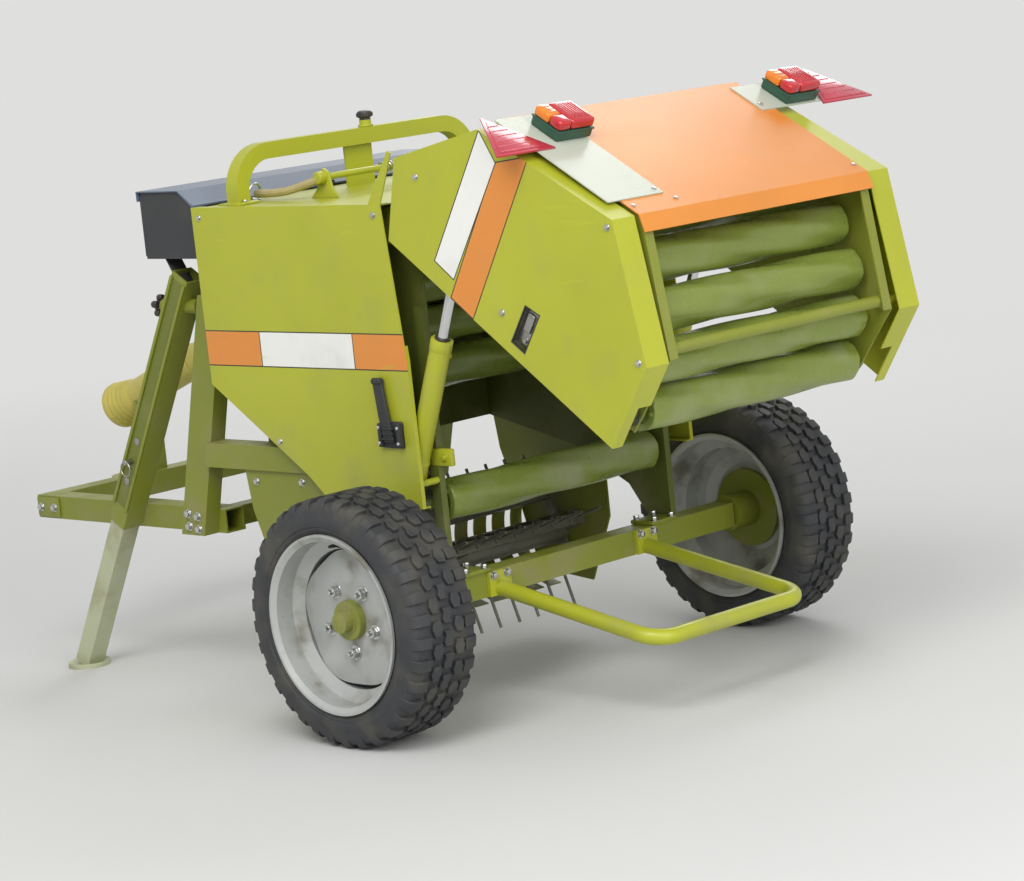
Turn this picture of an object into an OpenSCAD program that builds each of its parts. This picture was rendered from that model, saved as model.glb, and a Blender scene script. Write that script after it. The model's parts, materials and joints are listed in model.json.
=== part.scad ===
// Mini round baler, standing on its two wheels and its parking leg, tailgate raised.
// Millimetres. +X is the machine's left side, +Y its rear, +Z up.
// Side profiles are drawn as [y, z] points with the axle at y = 0 and the ground at z = 0.

/* [Wheels] */
// Outer radius of the tyre
tyre_r = 288.5; // [280:0.5:296]
// Width of the tyre over its sidewalls
tyre_w = 200; // [180:1:210]
// Distance of the tyre's middle plane from the machine's middle
tyre_x = 652; // [648:1:690]
// Radius of the rim's outer flange
rim_r = 208; // [195:1:212]
// Radius of the wheel bolt circle
bolt_circle_r = 77; // [70:1:84]
// Number of wheel bolts
bolt_count = 5; // [4:1:6]
// Radius of the stub axle
spindle_r = 20; // [16:1:24]
// Side of the square axle beam
axle_side = 60; // [50:1:66]

/* [Bale chamber] */
// Distance of the chamber walls' middle plane from the machine's middle
wall_x = 370; // [360:1:372]
// Thickness of the chamber walls
wall_t = 5; // [4:0.5:6]
// Height of the closed chamber's centre above the ground
chamber_z = 846; // [842:1:850]
// Radius of the circle on which the rollers sit
ring_r = 356; // [354:1:358]
// Radius of a roller
roller_r = 50; // [46:0.5:51]
// Angle between two rollers on the ring
roller_step = 17.6; // [17.4:0.1:17.9]
// Radius of a roller's shaft
roller_shaft_r = 14; // [12:0.5:16]
// Number of rollers in the tailgate
gate_count = 7; // [5:1:7]
// Height of the top deck's upper face
deck_z = 1200; // [1199:1:1204]

/* [Tailgate] */
// How far the tailgate is raised, in degrees
gate_open = 54.8; // [54:0.1:55]
// Distance of the covers' outer face from the machine's middle
cover_x = 458; // [455:1:460]
// Depth of the covers' folded edges
cover_depth = 70; // [64:1:74]
// Thickness of cover and lid sheets
sheet_t = 3; // [2:0.5:4]
// Radius of the tailgate's hinge pins
hinge_pin_r = 15; // [12:0.5:18]
// Radius of the tailgate's cross bar
cross_bar_r = 14; // [11:0.5:17]

/* [Cylinders] */
// Distance of the cylinders from the machine's middle
cyl_x = 416; // [414:1:418]
// Radius of the cylinder barrel
barrel_r = 25; // [22:0.5:27]
// Radius of the piston rod
rod_r = 12.5; // [10:0.5:14]
// Length of the barrel above its pin
barrel_len = 345; // [320:1:350]

/* [Hitch] */
// Distance of the hitch beams from the machine's middle
hitch_x = 342.5; // [340:0.5:343]
// Side of the square hitch beams
hitch_side = 60; // [50:1:64]
// Height of the hitch beams' middle above the ground
hitch_z = 410; // [400:1:425]
// How far the hitch beams' front ends lie before the axle
hitch_front = 1580; // [1540:5:1640]
// Radius of the parking leg's foot
foot_r = 55; // [45:1:65]

/* [Pickup] */
// Radius of the circle that the tine tips run on
tine_tip_r = 205; // [190:1:208]
// Number of tine bars on the reel
tine_bars = 4; // [3:1:5]
// Number of tines on a bar
tine_count = 12; // [8:1:14]
// Radius of a tine
tine_r = 4; // [3:0.5:5]

/* [Hidden] */
$fn = 48;
// Running clearance of shafts and pins in their bores
run_gap = 0.05;
// Gap left where curved faces of two pieces meet
seat_gap = 0.3;

// Turns a [y, z] vector anticlockwise by an angle
function turn(v, a) = [v[0] * cos(a) - v[1] * sin(a), v[0] * sin(a) + v[1] * cos(a)];
// Point at a distance and an angle from another
function polar(c, r, a) = [c[0] + r * cos(a), c[1] + r * sin(a)];
// Angle of the line from p to q
function heading(p, q) = atan2(q[1] - p[1], q[0] - p[0]);

// Inward normal of the edge from p to q of an anticlockwise outline
function inward(p, q) = turn((q - p) / norm(q - p), 90);
function cross_point(m, n, j, k) = [j * n[1] - k * m[1], m[0] * k - n[0] * j]
    / (m[0] * n[1] - m[1] * n[0]);
function corner(p, q, r, j, k) = cross_point(inward(p, q), inward(q, r),
    inward(p, q) * q + j, inward(q, r) * q + k);
// Outline with each edge moved inwards by its own distance
function inset_outline(pts, moves) = let (n = len(pts)) [for (i = [0 : n - 1])
    corner(pts[(i + n - 1) % n], pts[i], pts[(i + 1) % n], moves[(i + n - 1) % n], moves[i])];

// Driving points of the side view
split_y = 25;
gate_pivot = [129, 1150];
chamber = [split_y, chamber_z];
gate_chamber = gate_pivot + turn(chamber - gate_pivot, gate_open);
reel = [-420, 265];
wall_in = wall_x - wall_t / 2;
wall_out = wall_x + wall_t / 2;

// Outline of the tailgate cover, anticlockwise from its lowest front corner
cover_front = [8, 1120];
cover_low = [654, 665];
cover_rear_low = [779, 843];
cover_rear_top = [718, 1160];
cover_peak = [333, 1363];
cover_top = [55, 1307];
cover_pts = [cover_front, cover_low, cover_rear_low, cover_rear_top, cover_peak, cover_top];
window_pts = [[374, 894], [414, 866], [474, 953], [430, 976]];

// The orange lid lies over the tailgate's rollers: its slope, its gap above them, where its front
// edge lies along it from the point over the rollers' centre, and its length
lid_slope = -29.925;
lid_gap = 30;
lid_start = -219.2;
lid_len = 435;
lid_lip = 40;
function over_rollers(along) = gate_chamber
    + turn([along, ring_r + roller_r + lid_gap], lid_slope);
lid_front = over_rollers(lid_start);
lid_rear = over_rollers(lid_start + lid_len);
gate_x = 380;

// Outline of the front side cover
side_top_front = [-691, deck_z + sheet_t];
side_top_rear = [-10, deck_z + sheet_t];
side_pts = [[-686, 773], [-363, 562], [-290, 500], [28, 500], [25, 844], side_top_rear,
    side_top_front];

// Cylinder pins: on the chamber wall and, raised and closed, on the tailgate
cyl_foot = [-30, 570];
cyl_eye = [238, 1195];
cyl_span = norm(cyl_eye - cyl_foot);
cyl_lean = heading(cyl_foot, cyl_eye) - 90;

// Parking leg: lower and upper end of its guide, in the side view
guide_low = [-1149, 432];
guide_top = [-796, 1032];
guide_lean = heading(guide_low, guide_top) - 90;
guide_side = 60;
leg_side = 51.4;
ankle_z = 8;
leg_drop = (guide_low[1] - ankle_z) / cos(guide_lean);
leg_foot = polar(guide_low, -leg_drop, guide_lean + 90);

// Rear strut of the hitch frame and the long beam that meets it
strut_depth = 90;
strut_low = [-835, hitch_z - hitch_side / 2];
strut_top = [-665, 985];
strut_run = (strut_top[0] - strut_low[0]) / (strut_top[1] - strut_low[1]);
beam_low = 560;
function strut_rear_y(z) = strut_low[0] + (z - strut_low[1]) * strut_run;

// The power shaft slopes down to the front from the gearbox
shaft_slope = 20.8;
shaft_top = [-868, 916];
shaft_len = 880;

// Tow eye in front of the hitch beams
eye_reach = 95;
eye_ring_r = 42;

// The model stands on the middle of its own outline
mid_y = (cover_rear_low[0] - hitch_front - eye_reach - eye_ring_r) / 2;

// Puts a side-view drawing upright: its X runs to the rear, its Y up, its height to the left
module side_view(x = 0) {
    translate([x, 0, 0]) rotate([90, 0, 90]) children();
}
// Makes a piece on the left side and its mirror image on the right
module both_sides() {
    children();
    mirror([1, 0, 0]) children();
}
// Round bar or tube across the machine
module cross_rod(p, r, from_x, to_x) {
    translate([from_x, p[0], p[1]]) rotate([0, 90, 0]) cylinder(r = r, h = to_x - from_x);
}
// Square bar between two side-view points
module square_bar(p, q, side, x) {
    translate([x - side / 2, p[0], p[1]]) rotate([heading(p, q), 0, 0])
        translate([0, 0, -side / 2]) cube([side, norm(q - p), side]);
}
module square_tube(p, q, side, x, wall) {
    difference() {
        square_bar(p, q, side, x);
        square_bar(p - (q - p), q + (q - p), side - 2 * wall, x);
    }
}
module placed() {
    translate([0, -mid_y, 0]) children();
}

// Wheels
module wheel_at(s) {
    translate([s * tyre_x, 0, tyre_r]) rotate([0, s * 90, 0]) children();
}
module tyre(s) {
    bead_r = rim_r - 12;
    sidewall = tyre_r - rim_r;
    half = tyre_w / 2;
    color("#26282a") wheel_at(s) rotate_extrude($fn = 96) difference() {
        polygon([[bead_r + seat_gap, -84], [rim_r + seat_gap + 2, -90],
            [rim_r + sidewall * 0.3, -half], [tyre_r - sidewall * 0.45, -half + 3],
            [tyre_r - sidewall * 0.15, -half + 10], [tyre_r - 2, -half + 24],
            [tyre_r, -30], [tyre_r, 30], [tyre_r - 2, half - 24],
            [tyre_r - sidewall * 0.15, half - 10], [tyre_r - sidewall * 0.45, half - 3],
            [rim_r + sidewall * 0.3, half], [rim_r + seat_gap + 2, 90],
            [bead_r + seat_gap, 84]]);
        for (y = [-24, 24]) translate([tyre_r - 7, y - 4]) square([10, 8]);
    }
}
rim_wall = 5;
disc_z = 20;
hub_r = 45;
module rim(s) {
    bead_r = rim_r - 12;
    well_r = rim_r - 40;
    color("#c4c6c8") wheel_at(s) difference() {
        union() {
            rotate_extrude($fn = 96) polygon([[rim_r, -98], [rim_r, -91], [bead_r, -88],
                [bead_r, -52], [well_r, -40], [well_r, 24], [bead_r, 40], [bead_r, 88],
                [rim_r, 91], [rim_r, 98], [rim_r - 6, 98], [bead_r - rim_wall, 90],
                [bead_r - rim_wall, 42], [well_r - rim_wall, 27], [well_r - rim_wall, -42],
                [bead_r - rim_wall, -54], [bead_r - rim_wall, -90], [rim_r - 6, -98]]);
            rotate_extrude($fn = 96) polygon([[hub_r + seat_gap, disc_z], [112, disc_z],
                [138, disc_z - 14], [well_r - 2, disc_z - 20], [well_r - 2, disc_z - 14],
                [138, disc_z - 8], [112, disc_z + 6], [hub_r + seat_gap, disc_z + 6]]);
        }
        for (i = [0 : bolt_count - 1]) rotate([0, 0, 360 / bolt_count * i])
            translate([bolt_circle_r, 0, disc_z - 1]) cylinder(r = 8, h = 10);
    }
}
module hub(s) {
    color("#8f9c2c") wheel_at(s) difference() {
        union() {
            translate([0, 0, disc_z - 12]) cylinder(r = bolt_circle_r + 22, h = 12);
            translate([0, 0, -70]) cylinder(r = hub_r, h = disc_z + 96);
            translate([0, 0, disc_z + 26]) cylinder(r = 24, h = 24);
            for (i = [0 : bolt_count - 1]) rotate([0, 0, 360 / bolt_count * i])
                translate([bolt_circle_r, 0, disc_z - 2]) cylinder(r = 7, h = 24);
        }
        translate([0, 0, -71]) cylinder(r = spindle_r + run_gap, h = disc_z + 101);
    }
}
module axle() {
    inner = tyre_x - 75;
    wall = 6;
    color("#8f9c2c") union() {
        difference() {
            translate([-inner, -axle_side / 2, tyre_r - axle_side / 2])
                cube([2 * inner, axle_side, axle_side]);
            translate([8 - inner, -axle_side / 2 + wall, tyre_r - axle_side / 2 + wall])
                cube([2 * inner - 16, axle_side - 2 * wall, axle_side - 2 * wall]);
            translate([0, 0, tyre_r - axle_side / 2 - 1]) cylinder(r = 6, h = wall + 2);
        }
        both_sides() cross_rod([0, tyre_r], spindle_r, inner - 8, tyre_x + disc_z + 24);
    }
}

// Bale chamber
front_angles = [for (i = [0 : 4]) 124.5 + roller_step * i];
bottom_angle = 278.5 - roller_step;
function front_roller(i) = polar(chamber, ring_r, i < 5 ? front_angles[i] : bottom_angle);
function gate_roller(i) = polar(gate_chamber, ring_r, roller_step * i - 26.7);
module shaft_bores() {
    for (i = [0 : 5]) translate(front_roller(i)) circle(r = roller_shaft_r + run_gap);
}
module chamber_walls() {
    beam_top = tyre_r + axle_side / 2;
    wall_pts = [[15, beam_top], [15, 1030], [-14, 1090], [-14, deck_z - sheet_t],
        [-600, deck_z - sheet_t], [-600, 560], [-300, 492], [-120, 400], [-60, beam_top]];
    color("#7f9126") both_sides() {
        side_view(wall_in) linear_extrude(wall_t) difference() {
            polygon(wall_pts);
            shaft_bores();
        }
        translate([wall_out - 1, -14, beam_top]) cube([14, 29, 640]);
    }
}
module top_deck() {
    wide = cover_x - sheet_t;
    narrow = cover_x - fold_depth - 2;
    front = side_top_front[0];
    notch = front + sheet_t + 1;
    color("#a9b62e") {
        translate([0, 0, deck_z - sheet_t]) linear_extrude(sheet_t)
            polygon([[-narrow, front], [narrow, front], [narrow, notch], [wide, notch],
                [wide, -25], [-wide, -25], [-wide, notch], [-narrow, notch]]);
        translate([-narrow, front, deck_z - 30]) cube([2 * narrow, sheet_t, 30]);
    }
}
module front_wall() {
    color("#8c9a28") difference() {
        translate([-wall_in, -600, 560]) cube([2 * wall_in, sheet_t, deck_z - sheet_t - 560]);
        for (x = [-240, 240]) translate([x, -601, 1060]) rotate([-90, 0, 0])
            cylinder(r = 30, h = sheet_t + 2);
    }
}
module hinge_brackets() {
    arm = 12;
    arm_x = 392;
    block = [-120, 1110];
    color("#8f9c2c") both_sides() {
        side_view(arm_x) linear_extrude(arm) union() {
            polygon([[-230, 1190], [-230, 1090], [gate_pivot[0], gate_pivot[1] - 30],
                [gate_pivot[0], gate_pivot[1] + 30], [10, 1190]]);
            translate(gate_pivot) circle(r = 30);
        }
        translate([wall_out, block[0], block[1]]) cube([arm_x - wall_out + 1, 90, 70]);
        cross_rod(gate_pivot, hinge_pin_r, wall_in - 12, arm_x + 1);
    }
}
module long_beams() {
    color("#7f9126") both_sides() difference() {
        side_view(wall_out) linear_extrude(60) polygon([[-100, beam_low], [-100, beam_low + 60],
            [strut_rear_y(beam_low + 60) + seat_gap, beam_low + 60],
            [strut_rear_y(beam_low) + seat_gap, beam_low]]);
        translate([wall_out + 4, -900, beam_low + 4]) cube([52, 850, 52]);
    }
}
fold_depth = 25;
rear_fold = 11;
open_edge = -5;
module side_cover() {
    t = sheet_t;
    ear = [[-52, deck_z + 1], [-9, deck_z + 1], [44, 1318], [34, 1324]];
    color("#a9b62e") side_view(cover_x) {
        difference() {
            translate([0, 0, -fold_depth]) linear_extrude(fold_depth) polygon(side_pts);
            translate([0, 0, -fold_depth - 1]) linear_extrude(fold_depth - rear_fold + 1)
                polygon(inset_outline(side_pts, [t, t, t, open_edge, open_edge, t, t]));
            translate([0, 0, -rear_fold - 1]) linear_extrude(rear_fold - t + 1)
                polygon(inset_outline(side_pts, [t, t, t, t, open_edge, t, t]));
        }
        translate([0, 0, -t]) linear_extrude(t) polygon(ear);
    }
}
module cover_latch() {
    color("#3a3c3d") side_view(cover_x) {
        translate([-82, 640, 0]) cube([76, 64, 12]);
        translate([-70, 650, 12]) cube([52, 44, 8]);
        translate([-78, 698, 2]) rotate([0, 0, 8]) cube([30, 100, 8]);
        translate([-80, 790, 0]) cube([36, 22, 16]);
    }
}
arch_y = -600;
module top_arch() {
    side = 40;
    bend = 110;
    half = 400;
    top = 1340;
    color("#a2ae30") translate([0, arch_y, 0]) {
        both_sides() {
            translate([half - side, -side / 2, deck_z]) cube([side, side, top - bend - deck_z]);
            translate([half - bend, side / 2, top - bend]) rotate([90, 0, 0])
                rotate_extrude(angle = 90) translate([bend - side, 0]) square(side);
        }
        translate([bend - half, -side / 2, top - side]) cube([2 * (half - bend), side, side]);
        translate([-60, -3, deck_z]) cube([90, 6, top - side - deck_z + 1]);
        translate([-50, 0, top - 1]) cylinder(r = 15, h = 18);
    }
}
module filler_cap() {
    color("#3a3432") translate([-50, arch_y, 1357]) {
        cylinder(r = 13, h = 6);
        translate([0, 0, 6]) cylinder(r = 19, h = 14);
    }
}
box_front = -905;
box_rear = side_top_front[0];
box_x = 440;
box_low = 1077;
rim_low = 1188;
rim_high = 1240;
lid_pin_r = 4;
lid_hinge = [box_rear - 9, rim_low + 17];
lug_xs = [-300, 0, 300];
module twine_box() {
    outer = [[box_rear, box_low], [box_rear, rim_low], [box_rear - 64, rim_high],
        [box_front, rim_high], [box_front, box_low]];
    inner = [[box_rear - sheet_t, box_low + sheet_t], [box_rear - sheet_t, rim_low + 30],
        [box_rear - sheet_t, 1300], [box_front + sheet_t, 1300],
        [box_front + sheet_t, box_low + sheet_t]];
    color("#46494c") difference() {
        side_view(-box_x) linear_extrude(2 * box_x) polygon(outer);
        side_view(sheet_t - box_x) linear_extrude(2 * (box_x - sheet_t)) polygon(inner);
    }
}
module twine_box_lugs() {
    front = lid_hinge[0] - 9;
    color("#46494c") for (x = lug_xs) difference() {
        translate([x - 10, front, rim_low - 12]) cube([20, box_rear - sheet_t - front, 38]);
        cross_rod(lid_hinge, lid_pin_r + run_gap, x - 11, x + 11);
    }
}
module twine_lid() {
    lid_z = rim_high + 1;
    pts = [lid_hinge + [0, -lid_pin_r], [box_rear - 62, lid_z], [box_front - 6, lid_z],
        [box_front - 6, lid_z - 22], [box_front - 9, lid_z - 22],
        [box_front - 9, lid_z + sheet_t], [box_rear - 61, lid_z + sheet_t],
        lid_hinge + [0, lid_pin_r]];
    color("#5d6670") {
        difference() {
            side_view(-box_x - 6) linear_extrude(2 * (box_x + 6)) polygon(pts);
            for (x = lug_xs) translate([x - 16, lid_hinge[0] - 14, lid_hinge[1] - 20])
                cube([32, 30, 40]);
        }
        cross_rod(lid_hinge, lid_pin_r, -box_x - 6, box_x + 6);
    }
}
module guide_rail() {
    rail = [-400, 1250];
    color("#a2ae30") {
        cross_rod(rail, 8, -330, 60);
        for (x = [-300, 20]) translate([x, rail[0] - 15, deck_z]) cube([6, 30, 66]);
    }
}

// Drive
module gearbox() {
    color("#4d5630") {
        difference() {
            translate([-85, -760, 830]) cube([170, 160, 190]);
            for (x = [-1, 1]) translate([x * 85, -770, 925]) rotate([0, 45, 0])
                translate([-6, 0, -6]) cube([12, 40, 12]);
        }
        translate([0, -800, 924]) rotate([-90, 0, 0]) cylinder(r = 62, h = 41);
        translate([0, -850, 924]) rotate([-90, 0, 0]) cylinder(r = 17, h = 51);
    }
}
module pto_shaft() {
    tube_r = 35;
    color("#c9b23a") {
        difference() {
            translate([0, shaft_top[0], 924]) rotate([-90, 0, 0]) cylinder(r = 28, h = 50);
            translate([0, shaft_top[0] + 18, 924]) rotate([-90, 0, 0])
                cylinder(r = 17 + run_gap, h = 60);
        }
        translate([-22, shaft_top[0] - 26, 900]) cube([44, 36, 44]);
        translate([0, shaft_top[0], shaft_top[1]]) rotate([90 + shaft_slope, 0, 0])
            rotate_extrude() polygon([[0, 10], [tube_r - 4, 20], [tube_r, 24],
                [tube_r, shaft_len - 110], [tube_r + 6, shaft_len - 106], [62, shaft_len - 30],
                [58, shaft_len - 30], [tube_r, shaft_len - 96], [22, shaft_len - 96],
                [22, shaft_len], [0, shaft_len]]);
    }
}

// Hitch
tow_hole_r = 16;
module hitch_beams() {
    color("#8f9c2c") both_sides() translate([hitch_x, 0, 0])
        square_tube([-hitch_front, hitch_z], [-800, hitch_z], hitch_side, 0, 4);
}
module hitch_cross() {
    inner = hitch_x - hitch_side / 2;
    low = hitch_z - hitch_side / 2;
    top = hitch_z + hitch_side / 2;
    eye_y = -hitch_front - eye_reach;
    post_y = -1556;
    color("#8f9c2c") difference() {
        union() {
            translate([-inner, -hitch_front, low]) cube([2 * inner, hitch_side, hitch_side]);
            translate([-30, eye_y, hitch_z - 12]) cube([60, eye_reach + 1, 24]);
            translate([0, eye_y, hitch_z - 12]) cylinder(r = eye_ring_r, h = 24);
            translate([-40, post_y, top - 1]) cube([80, 12, 200]);
        }
        translate([0, eye_y, hitch_z - 20]) cylinder(r = tow_hole_r, h = 40);
        translate([0, shaft_top[0], shaft_top[1]]) rotate([90 + shaft_slope, 0, 0])
            cylinder(r = 35 + seat_gap, h = shaft_len);
    }
    color("#8f9c2c") translate([-inner, -880, low + 5]) cube([2 * inner, 50, 50]);
}
module hitch_struts_front() {
    x = hitch_x + (hitch_side + guide_side) / 2;
    brace = [-905, 955];
    brace_r = 18;
    brace_end = strut_rear_y(brace[1] - brace_r) - strut_depth - seat_gap;
    color("#8f9c2c") both_sides() {
        difference() {
            union() {
                square_bar(guide_low + [-21, -36], guide_top, guide_side, x);
                translate([x, brace[0], brace[1]]) rotate([-90, 0, 0])
                    cylinder(r = brace_r, h = brace_end - brace[0]);
            }
            square_bar(guide_low - [60, 102], guide_top + [60, 102], guide_side - 8, x);
        }
    }
}
module hitch_struts_rear() {
    x = hitch_x + hitch_side / 2;
    brace_z = 940;
    color("#8f9c2c") both_sides() {
        side_view(x) linear_extrude(45) polygon([strut_low - [strut_depth, 0], strut_low,
            strut_top, strut_top - [strut_depth, 0]]);
        translate([wall_out, strut_rear_y(brace_z) - 30, brace_z]) cube([20, 160, 40]);
    }
}
module parking_leg() {
    x = hitch_x + (hitch_side + guide_side) / 2;
    color("#c7cbb0") {
        difference() {
            square_bar(leg_foot, guide_low + [106, 180], leg_side, x);
            translate([x - 40, leg_foot[0] - 60, -40]) cube([80, 120, 46]);
        }
        translate([x, leg_foot[0], 0]) cylinder(r = foot_r, h = 7);
    }
}

// Pickup
pickup_x = 418;
module pickup_sides() {
    sides = [[-640, beam_low], [-626, 461], [-575, 330], [-520, 150], [-330, 130], [-250, 300],
        [-250, beam_low]];
    color("#8f9c2c") both_sides() {
        side_view(pickup_x) linear_extrude(5) difference() {
            polygon(sides);
            translate(reel) circle(r = 22 + run_gap);
        }
    }
}
module pickup_strippers() {
    band_r = 150;
    band_w = 44;
    leg_r = tine_tip_r + 7;
    top_angle = 60;
    pitch = 2 * (pickup_x - 20) / tine_count;
    color("#8f9c2c") {
        for (i = [0 : tine_count]) {
            mid = 20 - pickup_x + pitch * i;
            low = max(mid - band_w / 2, 2 - pickup_x);
            high = min(mid + band_w / 2, pickup_x - 2);
            side_view(low) translate(reel) rotate([0, 0, top_angle]) {
                rotate_extrude(angle = 200) translate([band_r, 0]) square([3, high - low]);
                translate([band_r, 0, 0]) cube([leg_r - band_r + 1, 3, high - low]);
            }
        }
        side_view(-pickup_x) translate(reel) rotate([0, 0, top_angle])
            translate([leg_r, -2, 0]) cube([5, 30, 2 * pickup_x]);
    }
}
module pickup_reel() {
    half = pickup_x - 14;
    arm_r = 92;
    pitch = 2 * (pickup_x - 20) / tine_count;
    color("#8a8d45") translate([0, reel[0], reel[1]]) {
        cross_rod([0, 0], 36, -half, half);
        cross_rod([0, 0], 22, -pickup_x - 14, pickup_x + 14);
        for (b = [0 : tine_bars - 1]) rotate([360 / tine_bars * b + 20, 0, 0]) {
            for (x = [-half, -6, half - 12]) translate([x, -16, 0]) cube([12, 32, arm_r]);
            translate([-half, -14, arm_r - 14]) cube([2 * half, 28, 22]);
            for (i = [0 : tine_count - 1])
                translate([-pickup_x + 20 + pitch * (i + 0.5), 0, arm_r]) cylinder(r = tine_r,
                    h = tine_tip_r - arm_r, $fn = 16);
        }
    }
}
module feed_floor() {
    color("#8f9c2c") side_view(-wall_in) linear_extrude(2 * wall_in)
        polygon([[-262, 492], [-88, 486], [-88, 482], [-262, 488]]);
}
module bale_ramp() {
    tube = 19;
    arm_x = 190;
    bend = 60;
    reach = 450;
    slope = -10;
    color("#a9b62e") translate([0, axle_side / 2, 276]) {
        for (x = [-1, 1]) translate([x * (arm_x + bend) - 35, 0, -17]) cube([70, 10, 58]);
        rotate([slope, 0, 0]) {
            both_sides() {
                translate([arm_x + bend, 4, 0]) rotate([-90, 0, 0])
                    cylinder(r = tube, h = reach - 4);
                translate([arm_x, reach, 0]) rotate_extrude(angle = 90) translate([bend, 0])
                    circle(r = tube);
            }
            cross_rod([reach + bend, 0], tube, -arm_x, arm_x);
        }
    }
}

// Rollers
module roller(p) {
    half = wall_in - 22;
    skin = 4;
    color("#8a9a3a") difference() {
        union() {
            cross_rod(p, roller_r, -half, half);
            cross_rod(p, roller_shaft_r, -wall_out - 8, wall_out + 8);
        }
        cross_rod(p, roller_r - skin, 8 - half, half - 8);
        cross_rod(p + [30, 0], 8, -half - 1, half + 1);
    }
}

// Tailgate
gate_edge = [[18, 1123], [640, 685], [768, 846], lid_rear, lid_front, [66, 1296]];
module gate_sides() {
    color("#8c9a30") both_sides() {
        side_view(wall_in) linear_extrude(wall_t) difference() {
            polygon(gate_edge);
            for (i = [0 : gate_count - 1])
                translate(gate_roller(i)) circle(r = roller_shaft_r + run_gap);
            translate(gate_pivot) circle(r = hinge_pin_r + run_gap);
        }
        side_view(wall_in) translate([0, 0, -22]) linear_extrude(23)
            polygon([lid_rear, [768, 846], [764, 846], lid_rear - [4, 0]]);
    }
}
module gate_cover() {
    t = sheet_t;
    stand = [[120, 1262], [505, 890], [680, 1120], [738, 862]];
    color("#a9b62e") side_view(cover_x) {
        difference() {
            translate([0, 0, -cover_depth]) linear_extrude(cover_depth) polygon(cover_pts);
            translate([0, 0, -cover_depth - 1]) linear_extrude(cover_depth - t + 1)
                polygon(inset_outline(cover_pts, [open_edge, t, t, t, t, open_edge]));
            translate([0, 0, -cover_depth - 1]) linear_extrude(cover_depth + 2)
                polygon(window_pts);
            translate([640, 640, -cover_depth - 1]) cube([80, 110, 40]);
        }
        for (p = stand) translate([p[0], p[1], wall_out - cover_x])
            cylinder(r = 10, h = cover_x - wall_out - 1);
    }
}
module gate_lid() {
    bend = 40;
    lip = polar(lid_rear, lid_lip, lid_slope - bend);
    color("#e0823c") side_view(-gate_x) linear_extrude(2 * gate_x) polygon([lid_front, lid_rear,
        lip, lip + turn([0, sheet_t], lid_slope - bend),
        lid_rear + turn([sheet_t * tan(bend / 2), sheet_t], lid_slope),
        lid_front + turn([0, sheet_t], lid_slope)]);
}
module gate_top() {
    lean = heading(gate_edge[5], lid_front);
    run = norm(lid_front - gate_edge[5]);
    color("#a9b62e") side_view(-wall_x) linear_extrude(2 * wall_x) translate(gate_edge[5])
        rotate([0, 0, lean]) translate([0, seat_gap]) square([run - 3, sheet_t]);
}
module gate_cross_bar() {
    color("#97a63c") cross_rod(gate_edge[2] + [-23, 20], cross_bar_r, -wall_in, wall_in);
}
// Lamp boards lie on the lid: distances are along it from its front edge
module on_lid(x, along, up = 0) {
    translate([x, lid_front[0], lid_front[1]]) rotate([lid_slope, 0, 0])
        translate([0, along, sheet_t + up]) children();
}
plate_t = 3;
lamp_w = 110;
lamp_d = 88;
lamp_left = 290;
lamp_right = -475;
lamp_along = 86;
module lamp_plates() {
    color("#a9b62e") {
        on_lid(0, 0) translate([247, 6, 0.1]) cube([173, 372, plate_t]);
        on_lid(0, 0) translate([-560, 24, 0.1]) cube([225, 110, plate_t]);
    }
}
module lamp_bodies() {
    color("#3f5a44") for (x = [lamp_left, lamp_right])
        on_lid(x, lamp_along, plate_t + 0.1) translate([-lamp_w / 2, -lamp_d / 2, 0])
            cube([lamp_w, lamp_d, 26]);
}
module lamp_lenses() {
    color("#b3262e") for (x = [lamp_left, lamp_right])
        on_lid(x, lamp_along, plate_t + 26.1) hull() {
            translate([-lamp_w / 2, -lamp_d / 2, 0]) cube([lamp_w, lamp_d, 8]);
            translate([8 - lamp_w / 2, 8 - lamp_d / 2, 0]) cube([lamp_w - 16, lamp_d - 16, 26]);
        }
}
module reflectors() {
    side = 180;
    h = side * sqrt(3) / 2;
    color("#c0405a") for (x = [457, -620])
        on_lid(x, 0, plate_t + 0.2) translate([0, 152, 0]) linear_extrude(6)
            polygon([[-side / 2, 0], [side / 2, 0], [0, -h]]);
}

// Cylinders
foot_pin_r = 10;
module cylinder_pins() {
    color("#6f7a2a") both_sides() {
        cross_rod(cyl_foot, 15, wall_out, cyl_x - barrel_r - 1);
        cross_rod(cyl_foot, foot_pin_r, wall_out + 1, cyl_x + barrel_r + 4);
        cross_rod(cyl_foot, 15, cyl_x + barrel_r + 1, cyl_x + barrel_r + 5);
    }
}
module cylinder_barrels() {
    eye_r = 24;
    color("#a9b62e") both_sides() side_view(cyl_x) translate(cyl_foot) rotate([0, 0, cyl_lean]) {
        difference() {
            union() {
                translate([0, 0, -12]) cylinder(r = eye_r, h = 24);
                rotate([-90, 0, 0]) difference() {
                    cylinder(r = barrel_r, h = barrel_len);
                    translate([0, 0, 60]) cylinder(r = rod_r + run_gap, h = barrel_len);
                }
            }
            translate([0, 0, -30]) cylinder(r = foot_pin_r + run_gap, h = 60);
        }
    }
}
module cylinder_rods() {
    low = 170;
    color("#9a9c98") both_sides() side_view(cyl_x) translate(cyl_foot) rotate([0, 0, cyl_lean]) {
        translate([0, low, 0]) rotate([-90, 0, 0]) cylinder(r = rod_r, h = cyl_span - low);
        translate([0, cyl_span, -12]) cylinder(r = 22, h = 24);
        translate([0, cyl_span, -30]) cylinder(r = foot_pin_r, h = 30);
    }
}

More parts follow.
